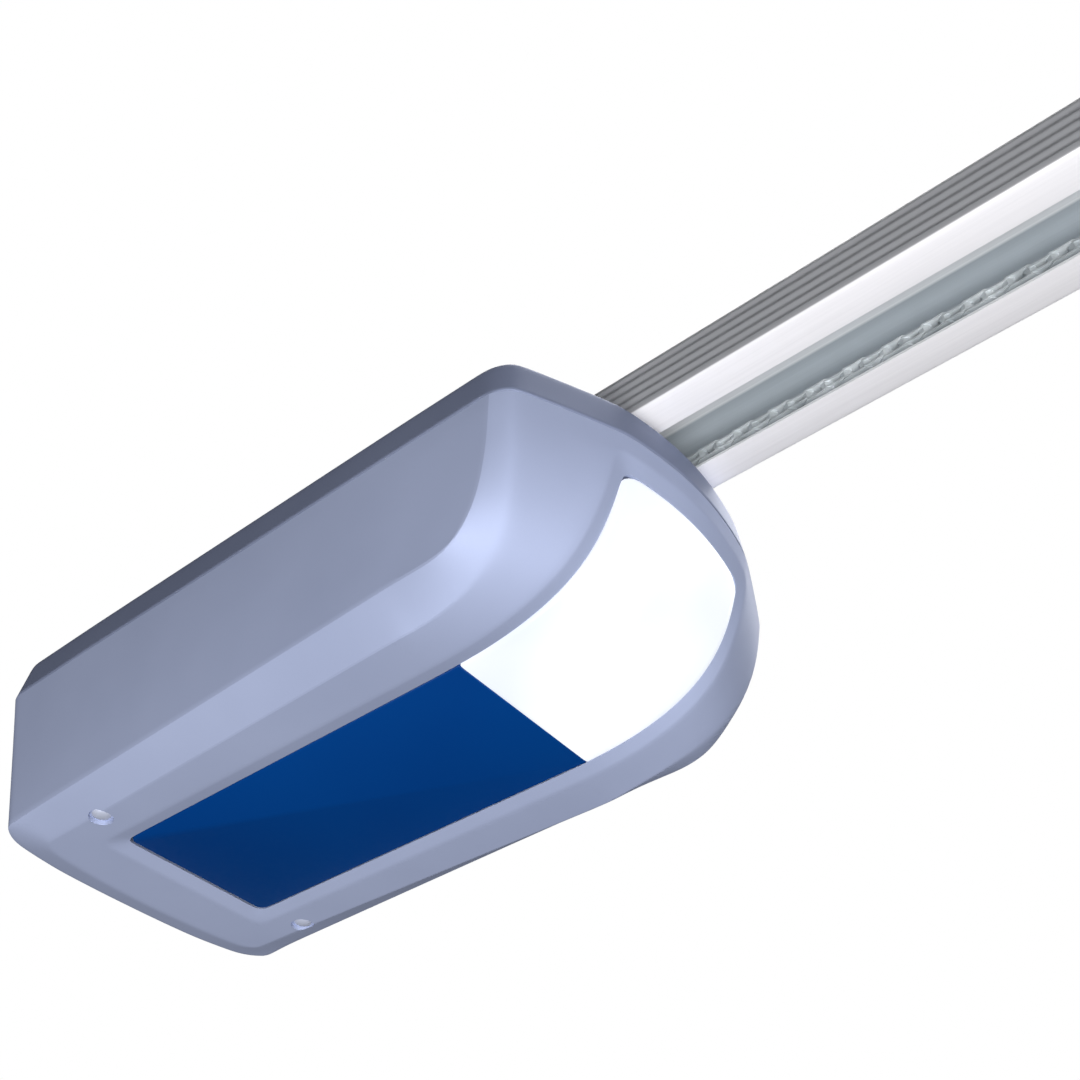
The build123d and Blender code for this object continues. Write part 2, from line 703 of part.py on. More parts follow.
with BuildPart() as control_board:
    with BuildSketch(Plane.XY.offset(board_z)):
        with Locations((90, 0)):
            RectangleRounded(120, 124, 3)
        with Locations(*standoff_spots):
            Circle(1.8, mode=Mode.SUBTRACT)
    extrude(amount=board_thick)
control_board.part.label = "control_board"
export_step(control_board.part, "parts/control_board.step")

with BuildPart() as board_standoffs:
    with BuildSketch(Plane.XY.offset(rim_z + wall)):
        with Locations(*standoff_spots):
            Circle(4)
    extrude(amount=board_height - wall)
    with BuildSketch(Plane.XY.offset(board_z)):
        with Locations(*standoff_spots):
            Circle(1.7)
    extrude(amount=4)
board_standoffs.part.label = "board_standoffs"
export_step(board_standoffs.part, "parts/board_standoffs.step")

# what is soldered to the board: two relays, a chip, capacitors and the wire clamps
with BuildPart() as board_parts:
    with Locations((128, -36, board_top), (128, -14, board_top)):
        Box(15, 19, 13, align=(Align.CENTER, Align.CENTER, Align.MIN))
    with Locations((62, -10, board_top)):
        Box(26, 9, 2.5, align=(Align.CENTER, Align.CENTER, Align.MIN))
    with Locations((62, 12, board_top)):
        Box(12, 12, 2, align=(Align.CENTER, Align.CENTER, Align.MIN))
    with Locations((96, 40, board_top), (112, 40, board_top)):
        Cylinder(6.3, 13, align=(Align.CENTER, Align.CENTER, Align.MIN))
    with Locations((92, -44, board_top), (100, -44, board_top), (108, -44, board_top)):
        Box(4, 12, 6, align=(Align.CENTER, Align.CENTER, Align.MIN))
    with Locations((88, 12, board_top)):
        Cylinder(3, 5, align=(Align.CENTER, Align.CENTER, Align.MIN))
    # spring clamps for the door-sensor and wall-switch wires
    with Locations((38, 0, board_top)):
        Box(12, 42, 12, align=(Align.CENTER, Align.CENTER, Align.MIN))
    with Locations(Plane.YZ.offset(32)):
        with Locations((0, board_top + 6)):
            with GridLocations(7, 1, 5, 1):
                Cylinder(2, 8, mode=Mode.SUBTRACT)
    with Locations((38, 0, board_top + 12)):
        with GridLocations(1, 7, 1, 5):
            Cylinder(2.2, 3, mode=Mode.SUBTRACT)
board_parts.part.label = "board_parts"
export_step(board_parts.part, "parts/board_parts.step")

with BuildPart() as reflector:
    with BuildSketch(Plane.XY.offset(rim_z + 12)):
        with BuildLine():
            Polyline((lamp_x + 12, -62), (lamp_x - 3, -44), (lamp_x - 3, 44), (lamp_x + 12, 62))
            offset(amount=1.2, side=Side.LEFT)
        make_face()
    extrude(amount=chassis_height - 12)
reflector.part.label = "reflector"
export_step(reflector.part, "parts/reflector.step")

with BuildPart() as lamp_board:
    with Locations((lamp_x, 0, rim_z + 48)):
        Box(1.6, 76, 50, align=(Align.MIN, Align.CENTER, Align.CENTER))
    with Locations(Plane.YZ.offset(lamp_x + 1.6)):
        with Locations((0, rim_z + 48)):
            with GridLocations(16, 16, 4, 3):
                Box(5, 5, 1.4, align=(Align.CENTER, Align.CENTER, Align.MIN))
lamp_board.part.label = "lamp_board"
export_step(lamp_board.part, "parts/lamp_board.step")

# ================================================================ controls and inlet on the rear wall
with BuildPart() as button_bezel:
    with Locations((bezel_face, bezel_mid, button_z)):
        Box(bezel_depth, bezel_width, bezel_tall, align=(Align.MIN, Align.CENTER, Align.CENTER))
    fillet(button_bezel.edges().filter_by(Axis.X), 4)
    for y in button_places:
        with BuildSketch(Plane.YZ.offset(bezel_face)):
            with Locations((y, button_z)):
                Circle(button_radius + part_gap)
        extrude(amount=bezel_depth, mode=Mode.SUBTRACT)
        with BuildSketch(Plane.YZ.offset(bezel_face + 6)):
            with Locations((y, button_z)):
                Circle(button_radius + 1.5 + part_gap)
        extrude(amount=bezel_depth, mode=Mode.SUBTRACT)
button_bezel.part.label = "button_bezel"
export_step(button_bezel.part, "parts/button_bezel.step")


def push_button(y):
    """A round cap with a collar that keeps it behind the bezel."""
    with BuildPart() as cap:
        with BuildSketch(Plane.YZ.offset(bezel_face - button_travel - 1)):
            with Locations((y, button_z)):
                Circle(button_radius)
        extrude(amount=button_travel + 1 + 12)
        fillet(cap.edges().group_by(Axis.X)[0], 1)
        with BuildSketch(Plane.YZ.offset(bezel_face + 6.2)):
            with Locations((y, button_z)):
                Circle(button_radius + 1.5)
        extrude(amount=2)
    return cap.part


with BuildPart() as program_button:
    add(push_button(button_places[0]))
program_button.part.label = "program_button"
export_step(program_button.part, "parts/program_button.step")

with BuildPart() as down_button:
    add(push_button(button_places[1]))
down_button.part.label = "down_button"
export_step(down_button.part, "parts/down_button.step")

with BuildPart() as up_button:
    add(push_button(button_places[2]))
up_button.part.label = "up_button"
export_step(up_button.part, "parts/up_button.step")

with BuildPart() as switch_board:
    with Locations((bezel_face + bezel_depth, bezel_mid, button_z)):
        Box(1.6, bezel_width, bezel_tall, align=(Align.MIN, Align.CENTER, Align.CENTER))
    with Locations(*[(bezel_face + bezel_depth, y, button_z) for y in button_places]):
        Box(3.4, 7, 7, align=(Align.MAX, Align.CENTER, Align.CENTER))
switch_board.part.label = "switch_board"
export_step(switch_board.part, "parts/switch_board.step")

with BuildPart() as power_inlet:
    with Locations((bezel_face, inlet_y, button_z)):
        Box(inlet_depth, inlet_width, inlet_tall, align=(Align.MIN, Align.CENTER, Align.CENTER))
    fillet(power_inlet.edges().filter_by(Axis.X), 2)
    with BuildSketch(Plane.YZ.offset(bezel_face)):
        with Locations((inlet_y, button_z)):
            RectangleRounded(inlet_width - 4, inlet_tall - 4, 2)
    extrude(amount=inlet_depth - 3, mode=Mode.SUBTRACT)
power_inlet.part.label = "power_inlet"
export_step(power_inlet.part, "parts/power_inlet.step")

with BuildPart() as inlet_pins:
    with Locations((bezel_face + inlet_depth - 3, inlet_y - 7, button_z - 2),
                   (bezel_face + inlet_depth - 3, inlet_y, button_z + 2),
                   (bezel_face + inlet_depth - 3, inlet_y + 7, button_z - 2)):
        Box(inlet_depth - 8, 2, 4, align=(Align.MAX, Align.CENTER, Align.CENTER))
inlet_pins.part.label = "inlet_pins"
export_step(inlet_pins.part, "parts/inlet_pins.step")

# ================================================================ rail and chain
with BuildPart() as rail:
    with BuildSketch(Plane.YZ.offset(rail_start)):
        with Locations((0, (rail_low + rail_high) / 2)):
            RectangleRounded(rail_width, rail_height, rail_corner)
            RectangleRounded(rail_width - 2 * rail_wall, rail_height - 2 * rail_wall,
                             rail_corner - rail_wall, mode=Mode.SUBTRACT)
        with Locations((0, rail_low)):
            Rectangle(rail_slot, 4 * rail_wall, mode=Mode.SUBTRACT)
    extrude(amount=rail_end - rail_start)
rail.part.label = "rail"
export_step(rail.part, "parts/rail.step")

# the chain as a closed band that is slotted where it meets the sprockets' teeth
with BuildPart() as drive_chain:
    with BuildSketch(Plane.XY.offset(chain_z - chain_height / 2)):
        with Locations(((drive_x + idler_x) / 2, 0)):
            SlotCenterToCenter(idler_x - drive_x, 2 * pitch_radius + plate_width)
            SlotCenterToCenter(idler_x - drive_x, 2 * pitch_radius - plate_width, mode=Mode.SUBTRACT)
    extrude(amount=chain_height)
    with Locations((drive_x, 0, chain_z), (idler_x, 0, chain_z)):
        Cylinder(pitch_radius + 2.5 * plate_width / 2, inner_width, mode=Mode.SUBTRACT)
drive_chain.part.label = "drive_chain"
export_step(drive_chain.part, "parts/drive_chain.step")

with BuildPart() as idler_sprocket:
    add(chain_sprocket(idler_x, pin_radius + run_gap, 0))
idler_sprocket.part.label = "idler_sprocket"
export_step(idler_sprocket.part, "parts/idler_sprocket.step")

fork_gap = chain_height / 2 + 0.8
fork_plate = 2.0
fork_web = idler_x + pitch_radius + plate_width / 2 + 4

with BuildPart() as idler_fork:
    with BuildSketch(Plane.XZ.offset(-fork_half)):
        with Locations((idler_x - 12, chain_z)):
            Rectangle(fork_web + 4 - idler_x + 12, 2 * (fork_gap + fork_plate),
                      align=(Align.MIN, Align.CENTER))
            Rectangle(fork_web - idler_x + 12, 2 * fork_gap, align=(Align.MIN, Align.CENTER),
                      mode=Mode.SUBTRACT)
    extrude(amount=2 * fork_half)
    with Locations((idler_x, 0, chain_z)):
        Cylinder(pin_radius, 40, mode=Mode.SUBTRACT)
    with Locations((fork_web, 0, chain_z)):
        Cylinder(pin_radius, 20, rotation=(0, 90, 0), mode=Mode.SUBTRACT)
idler_fork.part.label = "idler_fork"
export_step(idler_fork.part, "parts/idler_fork.step")

with BuildPart() as idler_axle:
    with BuildSketch(Plane((idler_x, 0, chain_z - fork_gap - fork_plate))):
        Circle(pin_radius)
    extrude(amount=2 * (fork_gap + fork_plate))
idler_axle.part.label = "idler_axle"
export_step(idler_axle.part, "parts/idler_axle.step")

sleeve_half = rail_width / 2 + part_gap + sleeve_plate
pivot_x = rail_end + sleeve_plate + 35.0
pivot_z = (rail_low + rail_high) / 2

# steel end sleeve: wraps the rail's end, holds the tension screw, and carries the header pivot
with BuildPart() as end_sleeve:
    with BuildSketch(Plane.YZ.offset(rail_end - 40)):
        with Locations((0, rail_low)):
            Rectangle(2 * sleeve_half, rail_height + part_gap + sleeve_plate,
                      align=(Align.CENTER, Align.MIN))
            Rectangle(rail_width + 2 * part_gap, rail_height + part_gap,
                      align=(Align.CENTER, Align.MIN), mode=Mode.SUBTRACT)
    extrude(amount=40)
    with BuildSketch(Plane.YZ.offset(rail_end)):
        with Locations((0, rail_low)):
            Rectangle(2 * sleeve_half, rail_height + part_gap + sleeve_plate,
                      align=(Align.CENTER, Align.MIN))
        with Locations((0, chain_z)):
            Circle(pin_radius + 0.3, mode=Mode.SUBTRACT)
    extrude(amount=sleeve_plate)
    for side in (-1, 1):
        with BuildSketch(Plane.XZ.offset(-side * sleeve_half)):
            with Locations((rail_end + sleeve_plate, pivot_z)):
                Rectangle(pivot_x - rail_end - sleeve_plate, 22, align=(Align.MIN, Align.CENTER))
            with Locations((pivot_x, pivot_z)):
                Circle(11)
                Circle(pin_radius, mode=Mode.SUBTRACT)
        extrude(amount=side * sleeve_plate)
end_sleeve.part.label = "end_sleeve"
export_step(end_sleeve.part, "parts/end_sleeve.step")

with BuildPart() as tension_screw:
    with BuildSketch(Plane.YZ.offset(fork_web - 1)):
        with Locations((0, chain_z)):
            Circle(pin_radius)
    extrude(amount=rail_end + sleeve_plate + 30 - fork_web)
    chamfer(tension_screw.edges().group_by(Axis.X)[-1], 0.8)
tension_screw.part.label = "tension_screw"
export_step(tension_screw.part, "parts/tension_screw.step")

spring_length = 16.0
with BuildPart() as tension_spring:
    with BuildLine():
        coil = Helix(pitch=3.5, height=spring_length - 2, radius=pin_radius + 2.2,
                     center=(rail_end + sleeve_plate + 1.0, 0, chain_z), direction=(1, 0, 0))
    with BuildSketch(Plane(origin=coil @ 0, z_dir=coil % 0)):
        Circle(0.9)
    sweep(is_frenet=True)
tension_spring.part.label = "tension_spring"
export_step(tension_spring.part, "parts/tension_spring.step")

with BuildPart() as tension_nut:
    with BuildSketch(Plane.YZ.offset(rail_end + sleeve_plate + spring_length)):
        with Locations((0, chain_z)):
            Circle(pin_radius + 5)
            Circle(pin_radius, mode=Mode.SUBTRACT)
    extrude(amount=1.5)
    with BuildSketch(Plane.YZ.offset(rail_end + sleeve_plate + spring_length + 1.5)):
        with Locations((0, chain_z)):
            RegularPolygon(pin_radius + 3.5, 6)
            Circle(pin_radius, mode=Mode.SUBTRACT)
    extrude(amount=6.5)
tension_nut.part.label = "tension_nut"
export_step(tension_nut.part, "parts/tension_nut.step")

header_half = sleeve_half + part_gap + header_plate

# wall bracket: two ears outside the sleeve's and a plate that is screwed over the door
with BuildPart() as header_bracket:
    for side in (-1, 1):
        with BuildSketch(Plane.XZ.offset(-side * header_half)):
            with Locations((pivot_x, pivot_z)):
                Rectangle(header_reach, 26, align=(Align.MIN, Align.CENTER))
                Circle(13)
                Circle(pin_radius + run_gap, mode=Mode.SUBTRACT)
        extrude(amount=side * header_plate)
    with BuildSketch(Plane.YZ.offset(pivot_x + header_reach)):
        with Locations((0, pivot_z)):
            RectangleRounded(header_width, header_tall, 5)
            with GridLocations(header_pitch_y, header_pitch_z, 2, 2):
                Circle(wall_hole, mode=Mode.SUBTRACT)
    extrude(amount=header_plate)
header_bracket.part.label = "header_bracket"
export_step(header_bracket.part, "parts/header_bracket.step")


def cross_pin(x, z, reach, shift):
    """A clevis pin across the machine with a head on its -Y end and a ring groove on the other."""
    with BuildPart() as pin:
        with BuildSketch(Plane.XZ.offset(reach - shift)):
            with Locations((x, z)):
                Circle(pin_radius)
        extrude(amount=-2 * reach)
        with BuildSketch(Plane.XZ.offset(reach - shift)):
            with Locations((x, z)):
                Circle(pin_radius + 2)
        extrude(amount=2.5)
    return pin.part


with BuildPart() as header_pin:
    add(cross_pin(pivot_x, pivot_z, header_half + 3, 0))
header_pin.part.label = "header_pin"
export_step(header_pin.part, "parts/header_pin.step")

# ================================================================ trolley
block_top = rail_low - 4.0
block_low = block_top - 35.0
arm_pin_x = trolley_x + 50.0
arm_pin_z = block_low + 13.0
lever_pin_x = trolley_x - 34.0
lever_pin_z = block_top - 17.0
block_front = trolley_x + 30.0
lever_half = 4.0
block_half = 20.0
lever_pin_radius = 3.0

shoe_low = rail_low + rail_wall + 0.3
shoe_arm = 5.0            # thickness of a shoe's arm, which passes over the chain
shoe_top = chain_z + chain_height / 2 + 1.3 + shoe_arm
shoe_outer = 29.0
shoe_inner = pitch_radius + plate_width / 2 + 0.8

with BuildPart() as trolley_body:
    with Locations((trolley_x, 0, block_top)):
        Box(80, 2 * web_half, shoe_top - block_top, align=(Align.CENTER, Align.CENTER, Align.MIN))
    with Locations((trolley_x - trolley_length / 2, 0, block_top)):
        Box(block_front - trolley_x + trolley_length / 2, 2 * block_half, block_top - block_low,
            align=(Align.MIN, Align.CENTER, Align.MAX))
    fillet(trolley_body.edges().filter_by(Axis.Z).group_by(Axis.X)[0], 6)
    # slot of the release lever and its pin hole
    with Locations((trolley_x - trolley_length / 2, 0, block_low)):
        Box(trolley_length / 2 - 18, 2 * (lever_half + 0.6), lever_pin_z + 10 - block_low,
            align=(Align.MIN, Align.CENTER, Align.MIN), mode=Mode.SUBTRACT)
    with Locations((lever_pin_x, 0, lever_pin_z)):
        Cylinder(lever_pin_radius, 60, rotation=(90, 0, 0), mode=Mode.SUBTRACT)
    # clevis of the door arm
    for side in (-1, 1):
        with BuildSketch(Plane.XZ.offset(-side * (arm_thick / 2 + 0.6))):
            with Locations((block_front - 1, (block_top + block_low) / 2 - 2)):
                Rectangle(arm_pin_x - block_front + 1, 31, align=(Align.MIN, Align.CENTER))
            with Locations((arm_pin_x, arm_pin_z)):
                Circle(12.9)
                Circle(pin_radius, mode=Mode.SUBTRACT)
        extrude(amount=-side * 5)
trolley_body.part.label = "trolley_body"
export_step(trolley_body.part, "parts/trolley_body.step")

# angled shoes that reach over the chain and slide on the rail's lips
with BuildPart() as slide_shoes:
    for side in (-1, 1):
        edge = Align.MIN if side > 0 else Align.MAX
        for x in (trolley_x - 30, trolley_x + 30):
            with Locations((x, side * web_half, shoe_top)):
                Box(20, shoe_outer - web_half, shoe_arm, align=(Align.CENTER, edge, Align.MAX))
            with Locations((x, side * shoe_inner, shoe_top)):
                Box(20, shoe_outer - shoe_inner, shoe_top - shoe_low,
                    align=(Align.CENTER, edge, Align.MAX))
slide_shoes.part.label = "slide_shoes"
export_step(slide_shoes.part, "parts/slide_shoes.step")

with BuildPart() as chain_connector:
    with Locations((trolley_x, web_half, chain_z)):
        Box(36, pitch_radius + plate_width / 2 + 3.4 - web_half, chain_height + 5,
            align=(Align.CENTER, Align.MIN, Align.CENTER))
    with Locations((trolley_x, pitch_radius, chain_z)):
        Box(40, plate_width + 2 * part_gap, chain_height + 2 * part_gap, mode=Mode.SUBTRACT)
chain_connector.part.label = "chain_connector"
export_step(chain_connector.part, "parts/chain_connector.step")

with BuildPart() as lever_pin:
    with BuildSketch(Plane.XZ.offset(block_half + 1)):
        with Locations((lever_pin_x, lever_pin_z)):
            Circle(lever_pin_radius)
    extrude(amount=-2 * block_half - 11)
lever_pin.part.label = "lever_pin"
export_step(lever_pin.part, "parts/lever_pin.step")

with BuildPart() as release_lever:
    with BuildSketch(Plane.XZ.offset(-lever_half)):
        with Locations((lever_pin_x, lever_pin_z)):
            Circle(8)
            Rectangle(9, 52, align=(Align.CENTER, Align.MAX))
        with Locations((lever_pin_x, lever_pin_z - 52)):
            Circle(9)
            Circle(4, mode=Mode.SUBTRACT)
        with Locations((lever_pin_x, lever_pin_z)):
            Circle(lever_pin_radius + run_gap, mode=Mode.SUBTRACT)
    extrude(amount=2 * lever_half)
release_lever.part.label = "release_lever"
export_step(release_lever.part, "parts/release_lever.step")

with BuildPart() as lever_spring:
    with BuildLine():
        turns = Helix(pitch=1.8, height=7, radius=lever_pin_radius + 1.4,
                      center=(lever_pin_x, block_half + 0.8, lever_pin_z), direction=(0, 1, 0))
    with BuildSketch(Plane(origin=turns @ 0, z_dir=turns % 0)):
        Circle(0.6)
    sweep(is_frenet=True)
lever_spring.part.label = "lever_spring"
export_step(lever_spring.part, "parts/lever_spring.step")

with BuildPart() as arm_pin:
    add(cross_pin(arm_pin_x, arm_pin_z, arm_thick / 2 + 8, 0))
arm_pin.part.label = "arm_pin"
export_step(arm_pin.part, "parts/arm_pin.step")

# ================================================================ door arm
bolt_spots = [arm_pin_z - straight_length + arm_overlap - 15 - 60 * i for i in (0, 1)]
curve_start_z = arm_pin_z - straight_length + arm_overlap
door_pin_z = curve_start_z - curved_length

with BuildPart() as straight_arm:
    with BuildSketch(Plane.XZ.offset(-arm_thick / 2)):
        with Locations((arm_pin_x, arm_pin_z - straight_length / 2)):
            SlotCenterToCenter(straight_length, arm_width, rotation=90)
        with Locations((arm_pin_x, arm_pin_z)):
            Circle(pin_radius + run_gap, mode=Mode.SUBTRACT)
        with Locations(*[(arm_pin_x, z) for z in bolt_spots]):
            Circle(pin_radius, mode=Mode.SUBTRACT)
        for i in range(1, 5):
            with Locations((arm_pin_x, arm_pin_z - 40 * i)):
                Circle(pin_radius, mode=Mode.SUBTRACT)
    extrude(amount=arm_thick)
straight_arm.part.label = "straight_arm"
export_step(straight_arm.part, "parts/straight_arm.step")

with BuildPart() as curved_arm:
    with BuildSketch(Plane.XZ.offset(-arm_thick / 2)):
        with BuildLine():
            run = Line((arm_pin_x, curve_start_z), (arm_pin_x, curve_start_z - 130))
            bend = JernArc(run @ 1, run % 1, arm_bend_radius, arm_bend_angle)
            back = JernArc(bend @ 1, bend % 1, arm_bend_radius, -arm_bend_angle)
            Line(back @ 1, (back @ 1).X * Vector(1, 0, 0) + Vector(0, door_pin_z, 0))
            offset(amount=arm_width / 2)
        make_face()
        with Locations(*[(arm_pin_x, z) for z in bolt_spots]):
            Circle(pin_radius, mode=Mode.SUBTRACT)
        with Locations(((back @ 1).X, door_pin_z)):
            Circle(pin_radius + run_gap, mode=Mode.SUBTRACT)
    extrude(amount=-arm_thick)
door_pin_x = (back @ 1).X
curved_arm.part.label = "curved_arm"
export_step(curved_arm.part, "parts/curved_arm.step")

with BuildPart() as arm_bolts:
    for z in bolt_spots:
        with BuildSketch(Plane.XZ.offset(arm_thick / 2)):
            with Locations((arm_pin_x, z)):
                Circle(pin_radius)
        extrude(amount=-(2 * arm_thick + 9))
        with BuildSketch(Plane.XZ.offset(arm_thick / 2)):
            with Locations((arm_pin_x, z)):
                RegularPolygon(7.5, 6)
        extrude(amount=5)
        with BuildSketch(Plane.XZ.offset(-arm_thick * 1.5)):
            with Locations((arm_pin_x, z)):
                RegularPolygon(7.5, 6)
                Circle(pin_radius, mode=Mode.SUBTRACT)
        extrude(amount=-6.5)
arm_bolts.part.label = "arm_bolts"
export_step(arm_bolts.part, "parts/arm_bolts.step")

# ================================================================ door bracket
with BuildPart() as door_bracket:
    for side in (-1, 1):
        with BuildSketch(Plane.XZ.offset(-arm_thick - side * (arm_thick / 2 + 0.6))):
            with Locations((door_pin_x, door_pin_z)):
                Rectangle(26, door_drop, align=(Align.CENTER, Align.MAX))
                Circle(13)
                Circle(pin_radius, mode=Mode.SUBTRACT)
        extrude(amount=-side * door_plate)
    with BuildSketch(Plane.XY.offset(door_pin_z - door_drop)):
        with Locations((door_pin_x, arm_thick)):
            RectangleRounded(door_length, door_width, 5)
            with GridLocations(door_pitch_x, door_pitch_y, 2, 2):
                Circle(door_hole, mode=Mode.SUBTRACT)
    extrude(amount=-door_plate)
door_bracket.part.label = "door_bracket"
export_step(door_bracket.part, "parts/door_bracket.step")

with BuildPart() as door_pin:
    add(cross_pin(door_pin_x, door_pin_z, arm_thick / 2 + 6, arm_thick))
door_pin.part.label = "door_pin"
export_step(door_pin.part, "parts/door_pin.step")
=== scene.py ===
import json
import math

import bmesh
import bpy
from mathutils import Matrix, Vector


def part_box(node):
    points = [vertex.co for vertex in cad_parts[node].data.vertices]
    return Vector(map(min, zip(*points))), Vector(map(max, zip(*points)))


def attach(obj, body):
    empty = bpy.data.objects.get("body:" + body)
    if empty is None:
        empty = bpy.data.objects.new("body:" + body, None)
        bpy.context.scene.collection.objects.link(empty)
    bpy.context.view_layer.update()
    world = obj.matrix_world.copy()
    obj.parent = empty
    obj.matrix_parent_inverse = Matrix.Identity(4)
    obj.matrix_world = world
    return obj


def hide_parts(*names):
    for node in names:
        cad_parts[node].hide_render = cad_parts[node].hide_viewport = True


# Looks of a garage door opener: a moulded powerhead with a lit lens, hung on a C-section rail.
# Shapes are worked out in millimetres in the frame's axes and scaled to metres as each is finished.

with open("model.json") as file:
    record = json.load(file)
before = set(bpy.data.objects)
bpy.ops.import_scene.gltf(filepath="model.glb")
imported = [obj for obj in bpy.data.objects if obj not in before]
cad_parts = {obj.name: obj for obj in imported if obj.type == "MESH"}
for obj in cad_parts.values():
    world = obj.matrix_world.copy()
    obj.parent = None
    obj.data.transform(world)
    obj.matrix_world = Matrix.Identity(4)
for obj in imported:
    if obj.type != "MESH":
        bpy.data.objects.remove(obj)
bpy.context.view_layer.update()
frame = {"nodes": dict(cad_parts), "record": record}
MM = 0.001


def cad(node):
    """The lowest and highest corner of a CAD node, in millimetres."""
    low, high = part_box(node)
    return low / MM, high / MM


# ================================================================ camera
CAMERA_PLACE = (0.48632, -0.33718, -0.47355)
CAMERA_AZIMUTH = math.radians(38.5)
CAMERA_DROP = math.radians(45.0)
SENSOR_WIDTH = 36.0
FOCAL_LENGTH = 42.33

camera = bpy.data.objects.new("camera", bpy.data.cameras.new("camera"))
bpy.context.scene.collection.objects.link(camera)
back = Vector((
    math.sin(CAMERA_AZIMUTH) * math.cos(CAMERA_DROP),
    -math.cos(CAMERA_AZIMUTH) * math.cos(CAMERA_DROP),
    -math.sin(CAMERA_DROP),
))
camera.location = CAMERA_PLACE
camera.rotation_mode = "QUATERNION"
camera.rotation_quaternion = (-back).to_track_quat("-Z", "Y")
camera.data.sensor_width = SENSOR_WIDTH
camera.data.lens = FOCAL_LENGTH
camera.data.clip_start = 0.01
bpy.context.scene.camera = camera


# ================================================================ material tools
def linear(code):
    """An sRGB hex colour as the linear RGBA that a shader socket takes."""
    shares = [int(code[i:i + 2], 16) / 255 for i in (1, 3, 5)]
    return (*[s / 12.92 if s <= 0.04045 else ((s + 0.055) / 1.055) ** 2.4 for s in shares], 1.0)


def per_mm(size):
    """Pattern scale on Object coordinates, in metres, for a feature of that many millimetres."""
    return 1.0 / (size * MM)


WAVE_BANDS = 3.15           # bands that a Wave texture draws in one unit at a scale of one
ALONG_RAIL = (0.02, 1.0, 1.0)       # draws a pattern out fifty times along X


def add(tree, kind, sockets=(), **settings):
    """Adds a node: settings are its own properties, sockets set its inputs to a value or a link."""
    node = tree.nodes.new(kind)
    for key, value in settings.items():
        setattr(node, key, value)
    for key, value in dict(sockets).items():
        if isinstance(value, bpy.types.NodeSocket):
            tree.links.new(value, node.inputs[key])
        else:
            node.inputs[key].default_value = value
    return node


def blank(name):
    """A new material and its empty node tree."""
    material = bpy.data.materials.new(name)
    material.use_nodes = True
    material.node_tree.nodes.clear()
    return material, material.node_tree


def shade(tree, shader):
    add(tree, "ShaderNodeOutputMaterial", {"Surface": shader.outputs[0]})


def ramp(tree, factor, stops):
    """A colour ramp of (position, hex colour) stops."""
    node = add(tree, "ShaderNodeValToRGB", {"Fac": factor})
    while len(node.color_ramp.elements) < len(stops):
        node.color_ramp.elements.new(0.5)
    for element, (place, code) in zip(node.color_ramp.elements, stops):
        element.position = place
        element.color = linear(code)
    return node.outputs["Color"]


def spread(tree, factor, low, high):
    """Maps a 0 to 1 pattern onto low to high."""
    node = add(tree, "ShaderNodeMapRange", {"Value": factor, "To Min": low, "To Max": high})
    return node.outputs["Result"]


def moulded(name, dark, light, rough=0.42, grain=0.5, bump=0.06, mottle=60.0, metallic=0.0):
    """Injection-moulded plastic: an even colour with a faint flow mottle and a fine spark-eroded grain
    that breaks up the highlight. The grain is drawn at about half a millimetre so that it shows."""
    material, tree = blank(name)
    place = add(tree, "ShaderNodeTexCoord").outputs["Object"]
    flow = add(tree, "ShaderNodeTexNoise", {
        "Vector": place, "Scale": per_mm(mottle), "Detail": 3.0, "Roughness": 0.5,
    }).outputs["Fac"]
    fine = add(tree, "ShaderNodeTexNoise", {
        "Vector": place, "Scale": per_mm(grain), "Detail": 2.0, "Roughness": 0.6,
    }).outputs["Fac"]
    pits = add(tree, "ShaderNodeBump", {
        "Height": fine, "Strength": bump, "Distance": 0.08 * MM,
    }).outputs["Normal"]
    shade(tree, add(tree, "ShaderNodeBsdfPrincipled", {
        "Base Color": ramp(tree, flow, [(0.3, dark), (0.7, light)]),
        "Roughness": spread(tree, fine, rough - 0.05, rough + 0.07),
        "Normal": pits, "IOR": 1.5, "Metallic": metallic,
    }))
    return material


def galvanised(name, dark, light, rough=0.34, spangle=6.0, streak=1.5):
    """Zinc-coated steel strip: faint crystal spangle and long rolling streaks along the rail."""
    material, tree = blank(name)
    place = add(tree, "ShaderNodeTexCoord").outputs["Object"]
    crystal = add(tree, "ShaderNodeTexVoronoi", {
        "Vector": place, "Scale": per_mm(spangle), "Randomness": 1.0,
    })
    drawn_out = add(tree, "ShaderNodeMapping", {"Vector": place, "Scale": ALONG_RAIL}).outputs[0]
    lines = add(tree, "ShaderNodeTexNoise", {
        "Vector": drawn_out, "Scale": per_mm(streak), "Detail": 4.0, "Roughness": 0.6,
    }).outputs["Fac"]
    mix = add(tree, "ShaderNodeMath", {
        0: crystal.outputs["Color"], 1: 0.3, 2: lines,
    }, operation="MULTIPLY_ADD")
    grooves = add(tree, "ShaderNodeBump", {
        "Height": lines, "Strength": 0.12, "Distance": 0.1 * MM,
    }).outputs["Normal"]
    shade(tree, add(tree, "ShaderNodeBsdfPrincipled", {
        "Base Color": ramp(tree, mix.outputs[0], [(0.35, dark), (0.85, light)]),
        "Roughness": spread(tree, crystal.outputs["Distance"], rough - 0.06, rough + 0.1),
        "Metallic": 0.5, "Normal": grooves,
    }))
    return material


